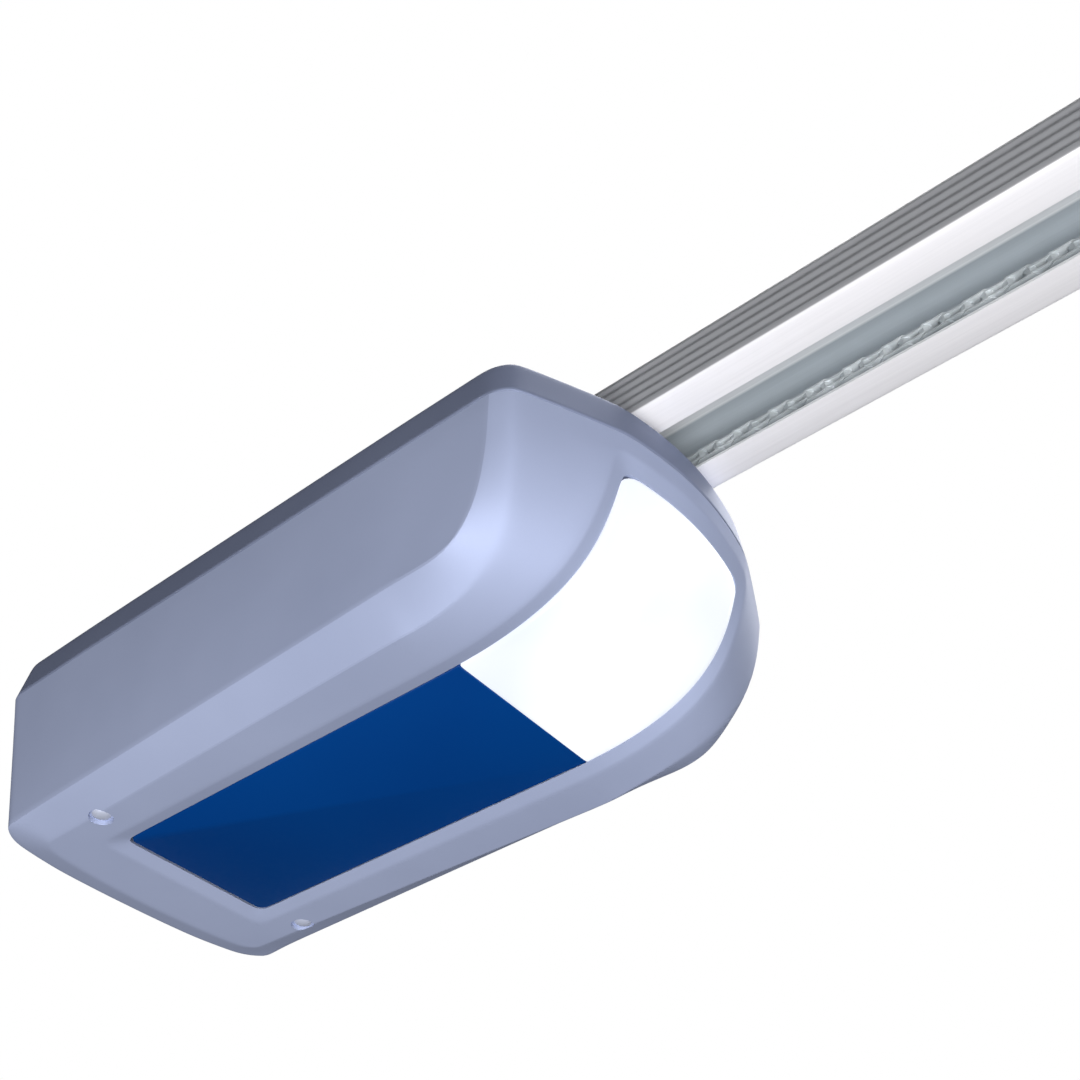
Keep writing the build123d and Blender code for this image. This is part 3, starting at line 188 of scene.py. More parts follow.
def machined(name, dark, light, rough=0.3, cut=0.6, metallic=0.6):
    """Turned or cold-drawn steel: fine tool lines, darker where oil stays in them."""
    material, tree = blank(name)
    place = add(tree, "ShaderNodeTexCoord").outputs["Object"]
    lines = add(tree, "ShaderNodeTexNoise", {
        "Vector": place, "Scale": per_mm(cut), "Detail": 3.0, "Roughness": 0.65,
    }).outputs["Fac"]
    stain = add(tree, "ShaderNodeTexNoise", {
        "Vector": place, "Scale": per_mm(14.0), "Detail": 4.0,
    }).outputs["Fac"]
    dents = add(tree, "ShaderNodeBump", {
        "Height": lines, "Strength": 0.15, "Distance": 0.06 * MM,
    }).outputs["Normal"]
    shade(tree, add(tree, "ShaderNodeBsdfPrincipled", {
        "Base Color": ramp(tree, stain, [(0.3, dark), (0.7, light)]),
        "Roughness": spread(tree, lines, rough - 0.08, rough + 0.12),
        "Metallic": metallic, "Normal": dents,
    }))
    return material


# Metal-flake ABS of the powerhead: satin lavender grey that falls off quickly as it turns away.
cover_abs = moulded("satin_lavender_grey_abs", "#A6B0CE", "#AEB8D6", rough=0.66, grain=0.6, bump=0.05,
                    mottle=90.0, metallic=0.32)
# The upper housing takes the same satin ABS in a darker colour with a little more metal.
housing_abs = moulded("satin_slate_abs", "#848DA9", "#8C95B1", rough=0.62, grain=0.6, bump=0.05,
                      mottle=90.0, metallic=0.42)


def lit_diffuser():
    """Opal polycarbonate over a lamp: an even cool white glow that thins out towards its edges."""
    material, tree = blank("lit_opal_polycarbonate")
    place = add(tree, "ShaderNodeTexCoord").outputs["Object"]
    cloud = add(tree, "ShaderNodeTexNoise", {
        "Vector": place, "Scale": per_mm(70.0), "Detail": 1.5,
    }).outputs["Fac"]
    prisms = add(tree, "ShaderNodeTexNoise", {
        "Vector": place, "Scale": per_mm(1.2), "Detail": 1.0,
    }).outputs["Fac"]
    ripple = add(tree, "ShaderNodeBump", {
        "Height": prisms, "Strength": 0.05, "Distance": 0.1 * MM,
    }).outputs["Normal"]
    shade(tree, add(tree, "ShaderNodeBsdfPrincipled", {
        "Base Color": ramp(tree, cloud, [(0.35, "#6B7079"), (0.65, "#757A82")]),
        "Roughness": 0.22, "IOR": 1.58, "Normal": ripple,
        "Emission Color": ramp(tree, cloud, [(0.3, "#E4ECFB"), (0.6, "#FAFCFF")]),
        "Emission Strength": 0.9,
    }))
    return material


def label_film():
    """Back-printed polyester film in deep blue: smooth, glossy, with a slight orange-peel."""
    material, tree = blank("deep_blue_polyester_film")
    place = add(tree, "ShaderNodeTexCoord").outputs["Object"]
    peel = add(tree, "ShaderNodeTexNoise", {
        "Vector": place, "Scale": per_mm(2.5), "Detail": 1.0,
    }).outputs["Fac"]
    ink = add(tree, "ShaderNodeTexNoise", {
        "Vector": place, "Scale": per_mm(120.0), "Detail": 2.0,
    }).outputs["Fac"]
    waves = add(tree, "ShaderNodeBump", {
        "Height": peel, "Strength": 0.03, "Distance": 0.05 * MM,
    }).outputs["Normal"]
    shade(tree, add(tree, "ShaderNodeBsdfPrincipled", {
        "Base Color": ramp(tree, ink, [(0.3, "#003678"), (0.7, "#003B7E")]),
        "Roughness": spread(tree, peel, 0.42, 0.48), "IOR": 1.5, "Normal": waves,
        "Specular IOR Level": 0.12,
    }))
    return material


def glass_epoxy():
    """Circuit board: green solder mask over a faint copper weave."""
    material, tree = blank("green_glass_epoxy")
    place = add(tree, "ShaderNodeTexCoord").outputs["Object"]
    tracks = add(tree, "ShaderNodeTexBrick", {
        "Vector": place, "Scale": per_mm(14.0), "Color1": linear("#0F5A34"),
        "Color2": linear("#12683C"), "Mortar": linear("#0B4427"), "Mortar Size": 0.04,
    })
    grain = add(tree, "ShaderNodeTexNoise", {"Vector": place, "Scale": per_mm(0.8)}).outputs["Fac"]
    shade(tree, add(tree, "ShaderNodeBsdfPrincipled", {
        "Base Color": tracks.outputs["Color"], "Roughness": spread(tree, grain, 0.28, 0.45),
    }))
    return material


def copper_winding():
    """Enamelled copper wire wound in close turns, seen as fine parallel ridges. They are drawn about two
    millimetres apart so that they show."""
    material, tree = blank("enamelled_copper_wire")
    place = add(tree, "ShaderNodeTexCoord").outputs["Object"]
    turns = add(tree, "ShaderNodeTexWave", {
        "Vector": place, "Scale": per_mm(2.2) / WAVE_BANDS, "Distortion": 0.6,
    }, bands_direction="Z").outputs["Fac"]
    ridges = add(tree, "ShaderNodeBump", {
        "Height": turns, "Strength": 0.5, "Distance": 0.3 * MM,
    }).outputs["Normal"]
    shade(tree, add(tree, "ShaderNodeBsdfPrincipled", {
        "Base Color": ramp(tree, turns, [(0.1, "#6E2F12"), (0.7, "#B8642E")]),
        "Roughness": 0.32, "Metallic": 0.8, "Normal": ridges,
    }))
    return material


def stacked_laminations():
    """Transformer and rotor iron: half-millimetre sheets, drawn here at two millimetres to show."""
    material, tree = blank("silicon_steel_laminations")
    place = add(tree, "ShaderNodeTexCoord").outputs["Object"]
    sheets = add(tree, "ShaderNodeTexWave", {
        "Vector": place, "Scale": per_mm(2.0) / WAVE_BANDS, "Distortion": 0.3, "Detail": 1.0,
    }, bands_direction="Y").outputs["Fac"]
    edges = add(tree, "ShaderNodeBump", {
        "Height": sheets, "Strength": 0.35, "Distance": 0.2 * MM,
    }).outputs["Normal"]
    shade(tree, add(tree, "ShaderNodeBsdfPrincipled", {
        "Base Color": ramp(tree, sheets, [(0.2, "#3B3A3A"), (0.8, "#6A6866")]),
        "Roughness": 0.5, "Metallic": 0.7, "Normal": edges,
    }))
    return material


def rolled_rail():
    """Bright zinc-coated strip, roll-formed, with light and shade painted into its colour. The lips are
    painted nearly white as painted light and the outer walls a duller grey. Inside, the walls are painted
    pale low down as painted light and darker upwards as painted shade, with a painted highlight line at
    the web's corner, and the web's underside is painted slate as painted shade. Fine rolling streaks run
    the whole length."""
    material, tree = blank("roll_formed_zinc_painted_light")
    place = add(tree, "ShaderNodeTexCoord").outputs["Object"]
    spot = add(tree, "ShaderNodeSeparateXYZ", {"Vector": place})
    facing = add(tree, "ShaderNodeSeparateXYZ", {
        "Vector": add(tree, "ShaderNodeTexCoord").outputs["Normal"],
    })
    outward = add(tree, "ShaderNodeMath", {
        0: spot.outputs["Y"], 1: facing.outputs["Y"],
    }, operation="MULTIPLY")
    looks_down = add(tree, "ShaderNodeMath", {0: facing.outputs["Z"], 1: -0.5}, operation="LESS_THAN")
    low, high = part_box("rail")
    rise = add(tree, "ShaderNodeMapRange", {
        "Value": spot.outputs["Z"], "From Min": low.z, "From Max": high.z,
    }).outputs["Result"]
    drawn_out = add(tree, "ShaderNodeMapping", {"Vector": place, "Scale": ALONG_RAIL}).outputs[0]
    streaks = add(tree, "ShaderNodeTexNoise", {
        "Vector": drawn_out, "Scale": per_mm(1.6), "Detail": 4.0, "Roughness": 0.6,
    }).outputs["Fac"]
    # Outer faces: the lips are painted nearly white as painted light, the walls a duller grey.
    outside = ramp(tree, rise, [
        (0.0, "#FBF9FD"), (0.05, "#FCFBFE"), (0.075, "#AEAFB3"), (1.0, "#ABACB0"),
    ])
    # Inner faces: painted pale low down as painted light and darker upwards as painted shade, with a
    # painted highlight line at the web's corner and the web's underside painted slate as painted shade.
    inside = ramp(tree, rise, [
        (0.04, "#F6F8FA"), (0.45, "#F4F7F9"), (0.72, "#C3CCD2"), (0.86, "#8F9BA4"), (0.9, "#F8FAFC"),
        (0.94, "#8A98A2"),
    ])
    # Inner faces and the web's underside take the inner colours with their painted light and shade.
    inner = add(tree, "ShaderNodeMath", {0: outward.outputs[0], 1: 0.0}, operation="LESS_THAN")
    web = add(tree, "ShaderNodeMath", {0: rise, 1: 0.8}, operation="GREATER_THAN")
    web_under = add(tree, "ShaderNodeMath", {
        0: web.outputs[0], 1: looks_down.outputs[0],
    }, operation="MULTIPLY")
    within = add(tree, "ShaderNodeMath", {
        0: inner.outputs[0], 1: web_under.outputs[0],
    }, operation="MAXIMUM")
    # zinc holds the painted light and shade of both colour sets.
    zinc = add(tree, "ShaderNodeMix", {0: within.outputs[0], 6: outside, 7: inside}, data_type="RGBA")
    # worn lays the rolling streaks over the painted light and shade.
    worn = add(tree, "ShaderNodeMix", {
        0: spread(tree, streaks, 0.0, 0.22), 6: zinc.outputs[2], 7: linear("#8C8F94"),
    }, data_type="RGBA", blend_type="MULTIPLY")
    grooves = add(tree, "ShaderNodeBump", {
        "Height": streaks, "Strength": 0.1, "Distance": 0.1 * MM,
    }).outputs["Normal"]
    shade(tree, add(tree, "ShaderNodeBsdfPrincipled", {
        "Base Color": worn.outputs[2], "Roughness": spread(tree, streaks, 0.34, 0.5),
        "Metallic": 0.15, "Normal": grooves,
    }))
    return material


FINISHES = {
    "cover_shell": cover_abs,
    "housing_shell": housing_abs,
    "lens": lit_diffuser(),
    "label": label_film(),
    "screws": moulded("lacquered_screw_heads", "#C3C9DE", "#CDD3E6", rough=0.45, mottle=20.0,
                      metallic=0.3),
    "sheet_steel": galvanised("galvanised_pressed_sheet", "#8E9398", "#B9BDC1", spangle=9.0),
    "saddle_steel": galvanised("galvanised_rail_saddle", "#868B90", "#AFB3B8", spangle=9.0),
    "rail_steel": rolled_rail(),
    "chain": machined("worn_bright_chain_steel", "#A7AEB2", "#DDE2E5", rough=0.5, cut=1.2,
                      metallic=0.35),
    "cast_box": machined("die_cast_zinc", "#7F8284", "#989B9D", rough=0.5, cut=0.9),
    "bearing_steel": machined("ground_bearing_steel", "#A8ABAE", "#C4C7CA", rough=0.18),
    "shaft_steel": machined("cold_drawn_shaft_steel", "#8D9092", "#B0B3B6", rough=0.28),
    "wheel_plastic": moulded("ivory_acetal", "#D8D2BE", "#E6E1D0", rough=0.4),
    "sprocket_steel": machined("sintered_sprocket_steel", "#4A4C4E", "#6B6D70", rough=0.45, cut=0.9),
    "motor_steel": machined("drawn_motor_can", "#8A8D90", "#A6A9AC", rough=0.36),
    "cap_plastic": moulded("black_glass_filled_nylon", "#17181A", "#222326", rough=0.5),
    "magnet": moulded("sintered_ferrite", "#26272A", "#36373B", rough=0.6),
    "laminations": stacked_laminations(),
    "winding": copper_winding(),
    "board_green": glass_epoxy(),
    "components": moulded("dark_component_epoxy", "#1B1C1F", "#2A2C30", rough=0.45, mottle=12.0),
    "nylon": moulded("natural_nylon", "#D9D7CF", "#E7E5DD", rough=0.42),
    "reflector_white": moulded("white_reflector_abs", "#E6E8EA", "#F2F3F4", rough=0.5),
    "black_plastic": moulded("black_abs", "#141517", "#1E2023", rough=0.4),
    "button_plastic": moulded("light_grey_button_abs", "#B9BDC6", "#C6CAD2", rough=0.35),
    "brass_pins": machined("bright_brass", "#B08A3A", "#D0AA58", rough=0.25),
    "spring_steel": machined("blued_spring_steel", "#5A5E66", "#80858C", rough=0.28),
    "lever_red": moulded("red_release_nylon", "#A8161B", "#BC1D22", rough=0.38),
    "trolley_plastic": moulded("charcoal_glass_filled_nylon", "#2B2D31", "#3A3C41", rough=0.48),
    "arm_steel": galvanised("galvanised_door_arm", "#878C91", "#B2B6BA", spangle=8.0),
}

NODE_SLOTS = {row["node"]: row["material_slot"] for row in frame["record"]["subparts"]}
for node, shown in frame["nodes"].items():
    shown.data.materials.clear()
    shown.data.materials.append(FINISHES[NODE_SLOTS[node]])


# ================================================================ shape tools
def corner_angle(edge):
    """The angle between an edge's two faces, or zero where it hasn't two."""
    return edge.calc_face_angle(0.0) if len(edge.link_faces) == 2 else 0.0


def finish_piece(bm, name, body, slot, stands_for, levels=0, wall=0.0, sharp=32.0):
    """Scales a shape to metres, gives it its finish and its live modifiers, and rides it on its body.
    Edges that turn by more degrees than sharp are shaded as edges."""
    bmesh.ops.scale(bm, vec=(MM, MM, MM), verts=bm.verts)
    for face in bm.faces:
        face.smooth = True
    for edge in bm.edges:
        edge.smooth = corner_angle(edge) < math.radians(sharp)
    mesh = bpy.data.meshes.new(name)
    bm.to_mesh(mesh)
    bm.free()
    piece = bpy.data.objects.new(name, mesh)
    bpy.context.scene.collection.objects.link(piece)
    mesh.materials.append(FINISHES[slot])
    if levels:
        smooth = piece.modifiers.new("smooth", "SUBSURF")
        smooth.levels = smooth.render_levels = levels
    if wall:
        shell = piece.modifiers.new("wall", "SOLIDIFY")
        shell.thickness, shell.offset = wall * MM, -1.0
    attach(piece, body)
    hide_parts(*stands_for)
    return piece


def grow_row(bm, row, places):
    """Extrudes a row of vertices and puts the new row at the given places."""
    edges = [bm.edges.get((a, b)) for a, b in zip(row, row[1:])]
    made = bmesh.ops.extrude_edge_only(bm, edges=edges)["geom"]
    fresh = [v for v in made if isinstance(v, bmesh.types.BMVert)]
    ordered = []
    for old in row:
        twin = next(v for v in fresh if bm.edges.get((old, v)))
        ordered.append(twin)
    for vert, place in zip(ordered, places):
        vert.co = place
    return ordered


# ================================================================ powerhead form
cover_low, cover_high = cad("lower_cover")
housing_low, housing_high = cad("upper_housing")
lens_high = cad("light_lens")[1]
label_low, label_high = cad("label_panel")
rim_z = cover_low.z
seam_height = housing_low.z - rim_z
seam_half = cover_high.y
apex_x = cover_high.x
recess_depth = label_low.z - rim_z
label_end = label_high.x
INSERT_GAP = 0.5            # between label or lens and the opening round them
BEVEL = 7.3                 # width of the sloped border round label and lens
SKIN_GAP = 0.35             # from the cover's upper edge to the seam
COVER_WALL = 2.6
NOSE_BOW = 172.6            # plan radius of the nose
PROFILE_START = label_end - 1.5
FLAT_PULL = Vector((76.1, 0, 0))        # how far the nose carries on flat from the underside
BROW_PULL = Vector((9.0, 0, 47.8))      # and how far it comes down steeply from the seam
opening_half = label_high.y + INSERT_GAP
opening_top = lens_high.z - rim_z + INSERT_GAP
rim_half = opening_half + BEVEL


def nose_profile(share):
    """Middle-plane curve of the nose: flat at the underside, steep at the seam."""
    start = Vector((PROFILE_START, 0, 0))
    ends = Vector((apex_x, 0, seam_height))
    rest = 1 - share
    return (rest ** 3 * start + 3 * rest ** 2 * share * (start + FLAT_PULL)
            + 3 * rest * share ** 2 * (ends - BROW_PULL) + share ** 3 * ends)


HALVINGS = 30


def nose_at(height):
    """The profile's share at a height above the rim, by halving."""
    low, high = 0.0, 1.0
    for _ in range(HALVINGS):
        middle = (low + high) / 2
        low, high = (middle, high) if nose_profile(middle).z < height else (low, middle)
    return high


def nose_point(share, y, depth=0.0):
    """A point on the nose, or that far under its surface."""
    step = 0.001
    along = (nose_profile(min(share + step, 1.0)) - nose_profile(max(share - step, 0.0))).normalized()
    inward = Vector((-along.z, 0, along.x))
    spot = nose_profile(share) + inward * depth
    bow = NOSE_BOW - math.sqrt(NOSE_BOW ** 2 - y * y)
    return Vector((spot.x - bow, y, rim_z + spot.z))


lens_share = nose_at(opening_top)
brow_share = nose_at(opening_top + BEVEL + 0.5)
seam_share = nose_at(seam_height - SKIN_GAP)
REAR_CHAMFER = 5.3          # height of the chamfer's outer crease at the rear
REAR_LEVELS = (REAR_CHAMFER, 18.0, 31.0, 43.0, 54.0, 66.0, seam_height - SKIN_GAP)
REAR_WALL_X = -57.0         # the rear wall's foot
FLAT_STATIONS = (8.0, 50.0, 95.0, 140.0, 180.0, 203.0)
REAR_STATIONS = (-24.0, -BEVEL - 2.5, -1.5)
UNDERSIDE_REAR = -39.9      # the flat underside's rear edge in the middle, and how far it bows forward
UNDERSIDE_BOW = 5.5
CORNER_FOOT = 67.4          # half-width of the underside just before its rear corners
RECESS_COLUMNS = (0.0, 18.0, 36.0, opening_half)        # half-widths of the columns inside the opening
RIM_COLUMN = len(RECESS_COLUMNS)        # the next column, on the rim round it
SUPPORT = 5.0               # how close a steadying row runs beside a crease
# Each row up the nose: share of the profile, half-width at the inner crease, then the outer crease's
# place, half-width and height, and how sharp the inner crease still is.
NOSE_ROWS = (
    (0.08, 71.9, 212.0, 87.5, 13.4, 0.85),
    (0.15, 71.3, 226.0, 87.7, 13.0, 0.8),
    (0.24, 72.1, 236.0, 87.8, 13.3, 0.65),
    (0.35, 75.4, 245.0, 88.4, 16.0, 0.4),
    (0.46, 79.0, 252.0, 89.4, 21.4, 0.15),
    (0.60, 84.5, 259.6, 91.3, 31.0, 0.0),
    (0.77, 90.0, 265.4, 94.3, 47.5, 0.0),
    (lens_share, 92.8, 268.0, 96.4, 60.0, 0.0),
    (brow_share, 94.3, 269.5, 98.1, 69.2, 0.0),
    (seam_share, 95.2, 270.6, 99.0, seam_height - SKIN_GAP, 0.0),
)
CORNER_ROW = 3              # the first of them where the outer crease climbs the front corner


def chamfer_foot(x):
    """Half-width of the flat underside, where the chamfer starts."""
    return 67.7 + 5.2 * x / label_end


def chamfer_head(x):
    """Half-width and height of the crease between chamfer and side wall."""
    share = x / label_end
    return 84.2 + 3.3 * share, 7.3 + 5.9 * share


def rear_point(level, y):
    """A point on the rear wall, which stands nearly upright and bows a little."""
    share = (level - REAR_CHAMFER) / (seam_height - REAR_CHAMFER)
    bow = (1 - share) * 2.0 * (y / 50.0) ** 3 + share * 2.6 * (y / 97.0) ** 2
    return Vector((REAR_WALL_X - share + bow, y, rim_z + level))


def rear_corner(level):
    """The rear corner's two edge points at a level: on the rear wall and on the side wall."""
    share = (level - REAR_CHAMFER) / (seam_height - REAR_CHAMFER)
    inner = rear_point(level, 75.0 + 17.0 * share)
    outer = Vector((-42.0 - 7.5 * share, 83.9 + 15.1 * share, rim_z + level))
    return inner, outer


def flat_row(x, foot):
    """A row across the flat underside, sunk where the label lies, then up to the side crease."""
    half, rise = chamfer_head(x)
    places = [Vector((x, y, rim_z)) for y in RECESS_COLUMNS + (rim_half,)]
    if x >= REAR_STATIONS[-1]:
        for place in places[:RIM_COLUMN]:
            place.z += recess_depth
    places.append(Vector((x, foot - SUPPORT, rim_z)))
    return places + [Vector((x, foot, rim_z)), Vector((x, half, rim_z + rise))]


def nose_row(share, inner_half, outer):
    """A row across the nose, sunk under its surface where the lens lies."""
    depth = recess_depth if share < lens_share + 0.001 else 0.0
    places = [nose_point(share, y, depth) for y in RECESS_COLUMNS]
    for y in (rim_half, inner_half - SUPPORT, inner_half):
        places.append(nose_point(share, y))
    return places + [outer]


def cover_rows():
    """Rows of points across one half of the cover, down its rear wall, along under it and up its nose."""
    rows = []
    for level in reversed(REAR_LEVELS):
        inner, outer = rear_corner(level)
        columns = RECESS_COLUMNS + (rim_half, inner.y - 10.0)
        rows.append([rear_point(level, y) for y in columns] + [inner, outer])
    columns = RECESS_COLUMNS + (rim_half, 62.0)
    edge = [Vector((UNDERSIDE_REAR + UNDERSIDE_BOW * (y / 66.0) ** 2, y, rim_z)) for y in columns]
    rows.append(edge + [Vector((-29.5, 67.2, rim_z)), Vector((-36.0, 83.8, rim_z + 5.6))])
    rows.append(flat_row(REAR_STATIONS[0], CORNER_FOOT))
    for x in REAR_STATIONS[1:] + FLAT_STATIONS:
        rows.append(flat_row(x, chamfer_foot(x)))
    for share, inner_half, x, y, height, _ in NOSE_ROWS:
        rows.append(nose_row(share, inner_half, Vector((x, y, rim_z + height))))
    return rows


def in_opening(face):
    """True for faces of the net that lie over the label or the lens."""
    centre = face.calc_center_median()
    return (abs(centre.y) < opening_half and centre.x > REAR_STATIONS[-1]
            and centre.z < rim_z + opening_top - 0.5
            and all(v.co.y < opening_half + 0.1 for v in face.verts))


WALL_BULGE = 0.9            # how far the side walls swell half-way up
CORNER_REACH = 6.0          # the corner lines shape the wall's first and last sixth


def side_wall(bm, base, rear, front):
    """Grows the side wall up from the lower crease, between the rear and the front corner's lines."""
    first, last = base[0].co.x, base[-1].co.x
    starts = [v.co.copy() for v in base]
    for back_place, fore_place in zip(rear[1:], front[1:]):
        places = []
        for start in starts:
            share = (start.x - first) / (last - first)
            spot = back_place.lerp(fore_place, share)
            rise = (spot.z - start.z) / (rim_z + seam_height - start.z)
            wall_y = start.y + (seam_half - start.y) * rise + WALL_BULGE * math.sin(math.pi * rise)
            mid = min(1.0, CORNER_REACH * share, CORNER_REACH * (1 - share))
            places.append(Vector((spot.x, spot.y + (wall_y - spot.y) * mid, spot.z)))
        base = grow_row(bm, base, places)


def edge_key(a, b):
    """The same for an edge and its mirror image."""
    return frozenset(tuple(round(c, 1) for c in (p.x, abs(p.y), p.z)) for p in (a, b))


REAR_CREASE = 0.85          # at the rear wall's foot
OUTLINE_CREASE = 0.92       # round the flat underside
SIDE_CREASE = 0.9           # between chamfer and side wall
UPPER_SIDE_CREASE = 0.8     # and on its last stretch, up to the seam
RIM_CREASE = 0.93           # along the sloped border's outer edge
BROW_CREASE = 0.9           # above the lens


def cover_creases(rows):
    """How sharp each edge of the net is: the underside's outline, the side crease and the border."""
    sharp = {}

    def mark(row, weight):
        for a, b in zip(row, row[1:]):
            sharp[edge_key(a, b)] = weight

    foot, nose = len(REAR_LEVELS), len(rows) - len(NOSE_ROWS)
    mark(rows[foot - 1], REAR_CREASE)
    mark(rows[foot][:-1], OUTLINE_CREASE)
    for i in range(foot, len(rows) - 1):
        fade = OUTLINE_CREASE if i + 1 < nose else NOSE_ROWS[i + 1 - nose][5]
        mark((rows[i][-2], rows[i + 1][-2]), fade)
    upper = len(rows) - 4
    mark([row[-1] for row in rows[foot - 1:upper + 1]], SIDE_CREASE)
    mark([row[-1] for row in rows[upper:]], UPPER_SIDE_CREASE)
    recess, brow = foot + 2, len(rows) - 2
    mark(rows[recess][:RIM_COLUMN + 1], RIM_CREASE)
    mark(rows[brow][:RIM_COLUMN + 1], BROW_CREASE)
    mark([row[RIM_COLUMN] for row in rows[recess:brow + 1]], RIM_CREASE)
    return sharp


def cover_net():
    """The cover's outer skin as a coarse net with creases, both halves."""
    bm = bmesh.new()
    rows = cover_rows()
    row = [bm.verts.new(p) for p in rows[0]]
    for a, b in zip(row, row[1:]):
        bm.edges.new((a, b))
    grown = [row]
    for places in rows[1:]:
        row = grow_row(bm, row, places)
        grown.append(row)
    rear_end = len(REAR_LEVELS) - 1
    front_end = len(rows) - len(NOSE_ROWS) + CORNER_ROW
    side_wall(bm, [r[-1] for r in grown[rear_end:front_end + 1]],
              [r[-1] for r in reversed(rows[:rear_end + 1])], [r[-1] for r in rows[front_end:]])
    bmesh.ops.remove_doubles(bm, verts=bm.verts, dist=0.05)
    bmesh.ops.delete(bm, geom=[f for f in bm.faces if in_opening(f)], context="FACES")
    bmesh.ops.mirror(bm, geom=bm.verts[:] + bm.edges[:] + bm.faces[:], axis="Y", merge_dist=0.05)
    bmesh.ops.recalc_face_normals(bm, faces=bm.faces)
    layer = bm.edges.layers.float.new("crease_edge")
    sharp = cover_creases(rows)
    for edge in bm.edges:
        if not edge.is_boundary:
            edge[layer] = sharp.get(edge_key(edge.verts[0].co, edge.verts[1].co), 0.0)
    return bm


def turn_outward(bm, outside):
    """Flips every face if the one nearest a point outside the shape looks away from it."""
    bm.faces.ensure_lookup_table()
    near = min(bm.faces, key=lambda f: (f.calc_center_median() - outside).length)
    if near.normal.dot(outside - near.calc_center_median()) < 0:
        bmesh.ops.reverse_faces(bm, faces=bm.faces)


cover = cover_net()
turn_outward(cover, Vector((100, 0, rim_z - 200)))
seam_loop = [e for e in cover.edges if e.is_boundary
             and min(v.co.z for v in e.verts) > rim_z + seam_height - 3]
seam_places = [(e.verts[0].co.copy(), e.verts[1].co.copy()) for e in seam_loop]
lower_shell = finish_piece(cover, "lower_cover_shell", "root", "cover_shell", ["lower_cover"],
                           levels=3, wall=COVER_WALL, sharp=180.0)

SCREW_PLACES = [Vector((7.6, side * 64.9, rim_z)) for side in (-1, 1)]
DIMPLE = 6.3                # radius of the round dimple each cover screw sits in
DIMPLE_DEPTH = 2.1
FACET_ANGLE = math.radians(13.0)        # edges of the cover that turn further are shaded as edges


def cut_dimples(shell):
    """Cuts the screw dimples into the shell's skin, then keeps the cut shape as plain faces."""
    bm = bmesh.new()
    for place in SCREW_PLACES:
        bmesh.ops.create_cone(bm, cap_ends=True, segments=48, radius1=DIMPLE + 0.4, radius2=DIMPLE - 0.9,
                              depth=2 * DIMPLE_DEPTH, matrix=Matrix.Translation(place))
    bmesh.ops.scale(bm, vec=(MM, MM, MM), verts=bm.verts)
    mesh = bpy.data.meshes.new("dimple_cutter")
    bm.to_mesh(mesh)
    bm.free()
    cutter = bpy.data.objects.new("dimple_cutter", mesh)
    bpy.context.scene.collection.objects.link(cutter)
    cut = shell.modifiers.new("dimples", "BOOLEAN")
    cut.object, cut.operation, cut.solver = cutter, "DIFFERENCE", "EXACT"
    bpy.context.view_layer.update()
    shaped = bpy.data.meshes.new_from_object(shell.evaluated_get(bpy.context.evaluated_depsgraph_get()))
    shell.modifiers.clear()
    bpy.data.objects.remove(cutter)
    bm = bmesh.new()
    bm.from_mesh(shaped)
    for edge in bm.edges:
        edge.smooth = corner_angle(edge) < FACET_ANGLE
    bm.to_mesh(shell.data)
    bm.free()


cut_dimples(lower_shell)


SEAM_GAP = 0.15             # the housing's skin starts that far above the seam
# Loops of the housing's skin: share of the rise to its top, and how far the wall is drawn in there.
HOUSING_LOOPS = ((0.5, 1.2), (0.84, 1.9), (0.97, 2.7), (1.0, 4.6), (1.0, 9.0), (1.0, 18.0))
THROAT = 20.0               # radius of the hole in the top round the output shaft


def housing_net():
    """The housing's skin: the seam's loop grown upwards, turned over a soft edge and closed on top as
    far as the throat."""
    bm = bmesh.new()
    made = {}
    for pair in seam_places:
        ends = []
        for place in pair:
            key = tuple(round(c, 2) for c in place)
            if key not in made:
                made[key] = bm.verts.new((place.x, place.y, rim_z + seam_height + SEAM_GAP))
            ends.append(made[key])
        bm.edges.new(ends)
    centre_x = (apex_x + cover_low.x) / 2
    height = housing_high.z - rim_z - seam_height
    half_length = apex_x - centre_x
    loop = bm.edges[:]
    pulled = 0.0
    for rise, drawn in HOUSING_LOOPS:
        geom = bmesh.ops.extrude_edge_only(bm, edges=loop)["geom"]
        verts = [v for v in geom if isinstance(v, bmesh.types.BMVert)]
        loop = [e for e in geom if isinstance(e, bmesh.types.BMEdge)]
        loop = [e for e in loop if e.verts[0] in verts and e.verts[1] in verts]
        more = drawn - pulled
        pulled = drawn
        bmesh.ops.translate(bm, verts=verts, vec=(-centre_x, 0, 0))
        bmesh.ops.scale(bm, verts=verts,
                        vec=(1 - more / half_length, 1 - more / seam_half, 1.0))
        bmesh.ops.translate(bm, verts=verts, vec=(centre_x, 0, 0))
        for vert in verts:
            vert.co.z = rim_z + seam_height + SEAM_GAP + rise * (height - SEAM_GAP)
    shaft_low, shaft_high = cad("output_shaft")
    throat = Matrix.Translation(((shaft_low.x + shaft_high.x) / 2, 0, housing_high.z))
    ring = bmesh.ops.create_circle(bm, segments=32, radius=THROAT, matrix=throat)["verts"]
    ring_edges = list({e for v in ring for e in v.link_edges})
    bmesh.ops.bridge_loops(bm, edges=loop + ring_edges)
    bmesh.ops.recalc_face_normals(bm, faces=bm.faces)
    turn_outward(bm, Vector((100, 0, housing_high.z + 300)))
    return bm


finish_piece(housing_net(), "upper_housing_shell", "root", "housing_shell", ["upper_housing"],
             levels=2, wall=COVER_WALL, sharp=180.0)


# ================================================================ label and lens
LABEL_CORNER = 4.5          # radius of its rear corners
LABEL_EDGE = 0.35           # how far its lower edge is eased
LENS_WALL = 2.4
LENS_CORNER = 4.0           # width over which the lens's upper corners are rounded


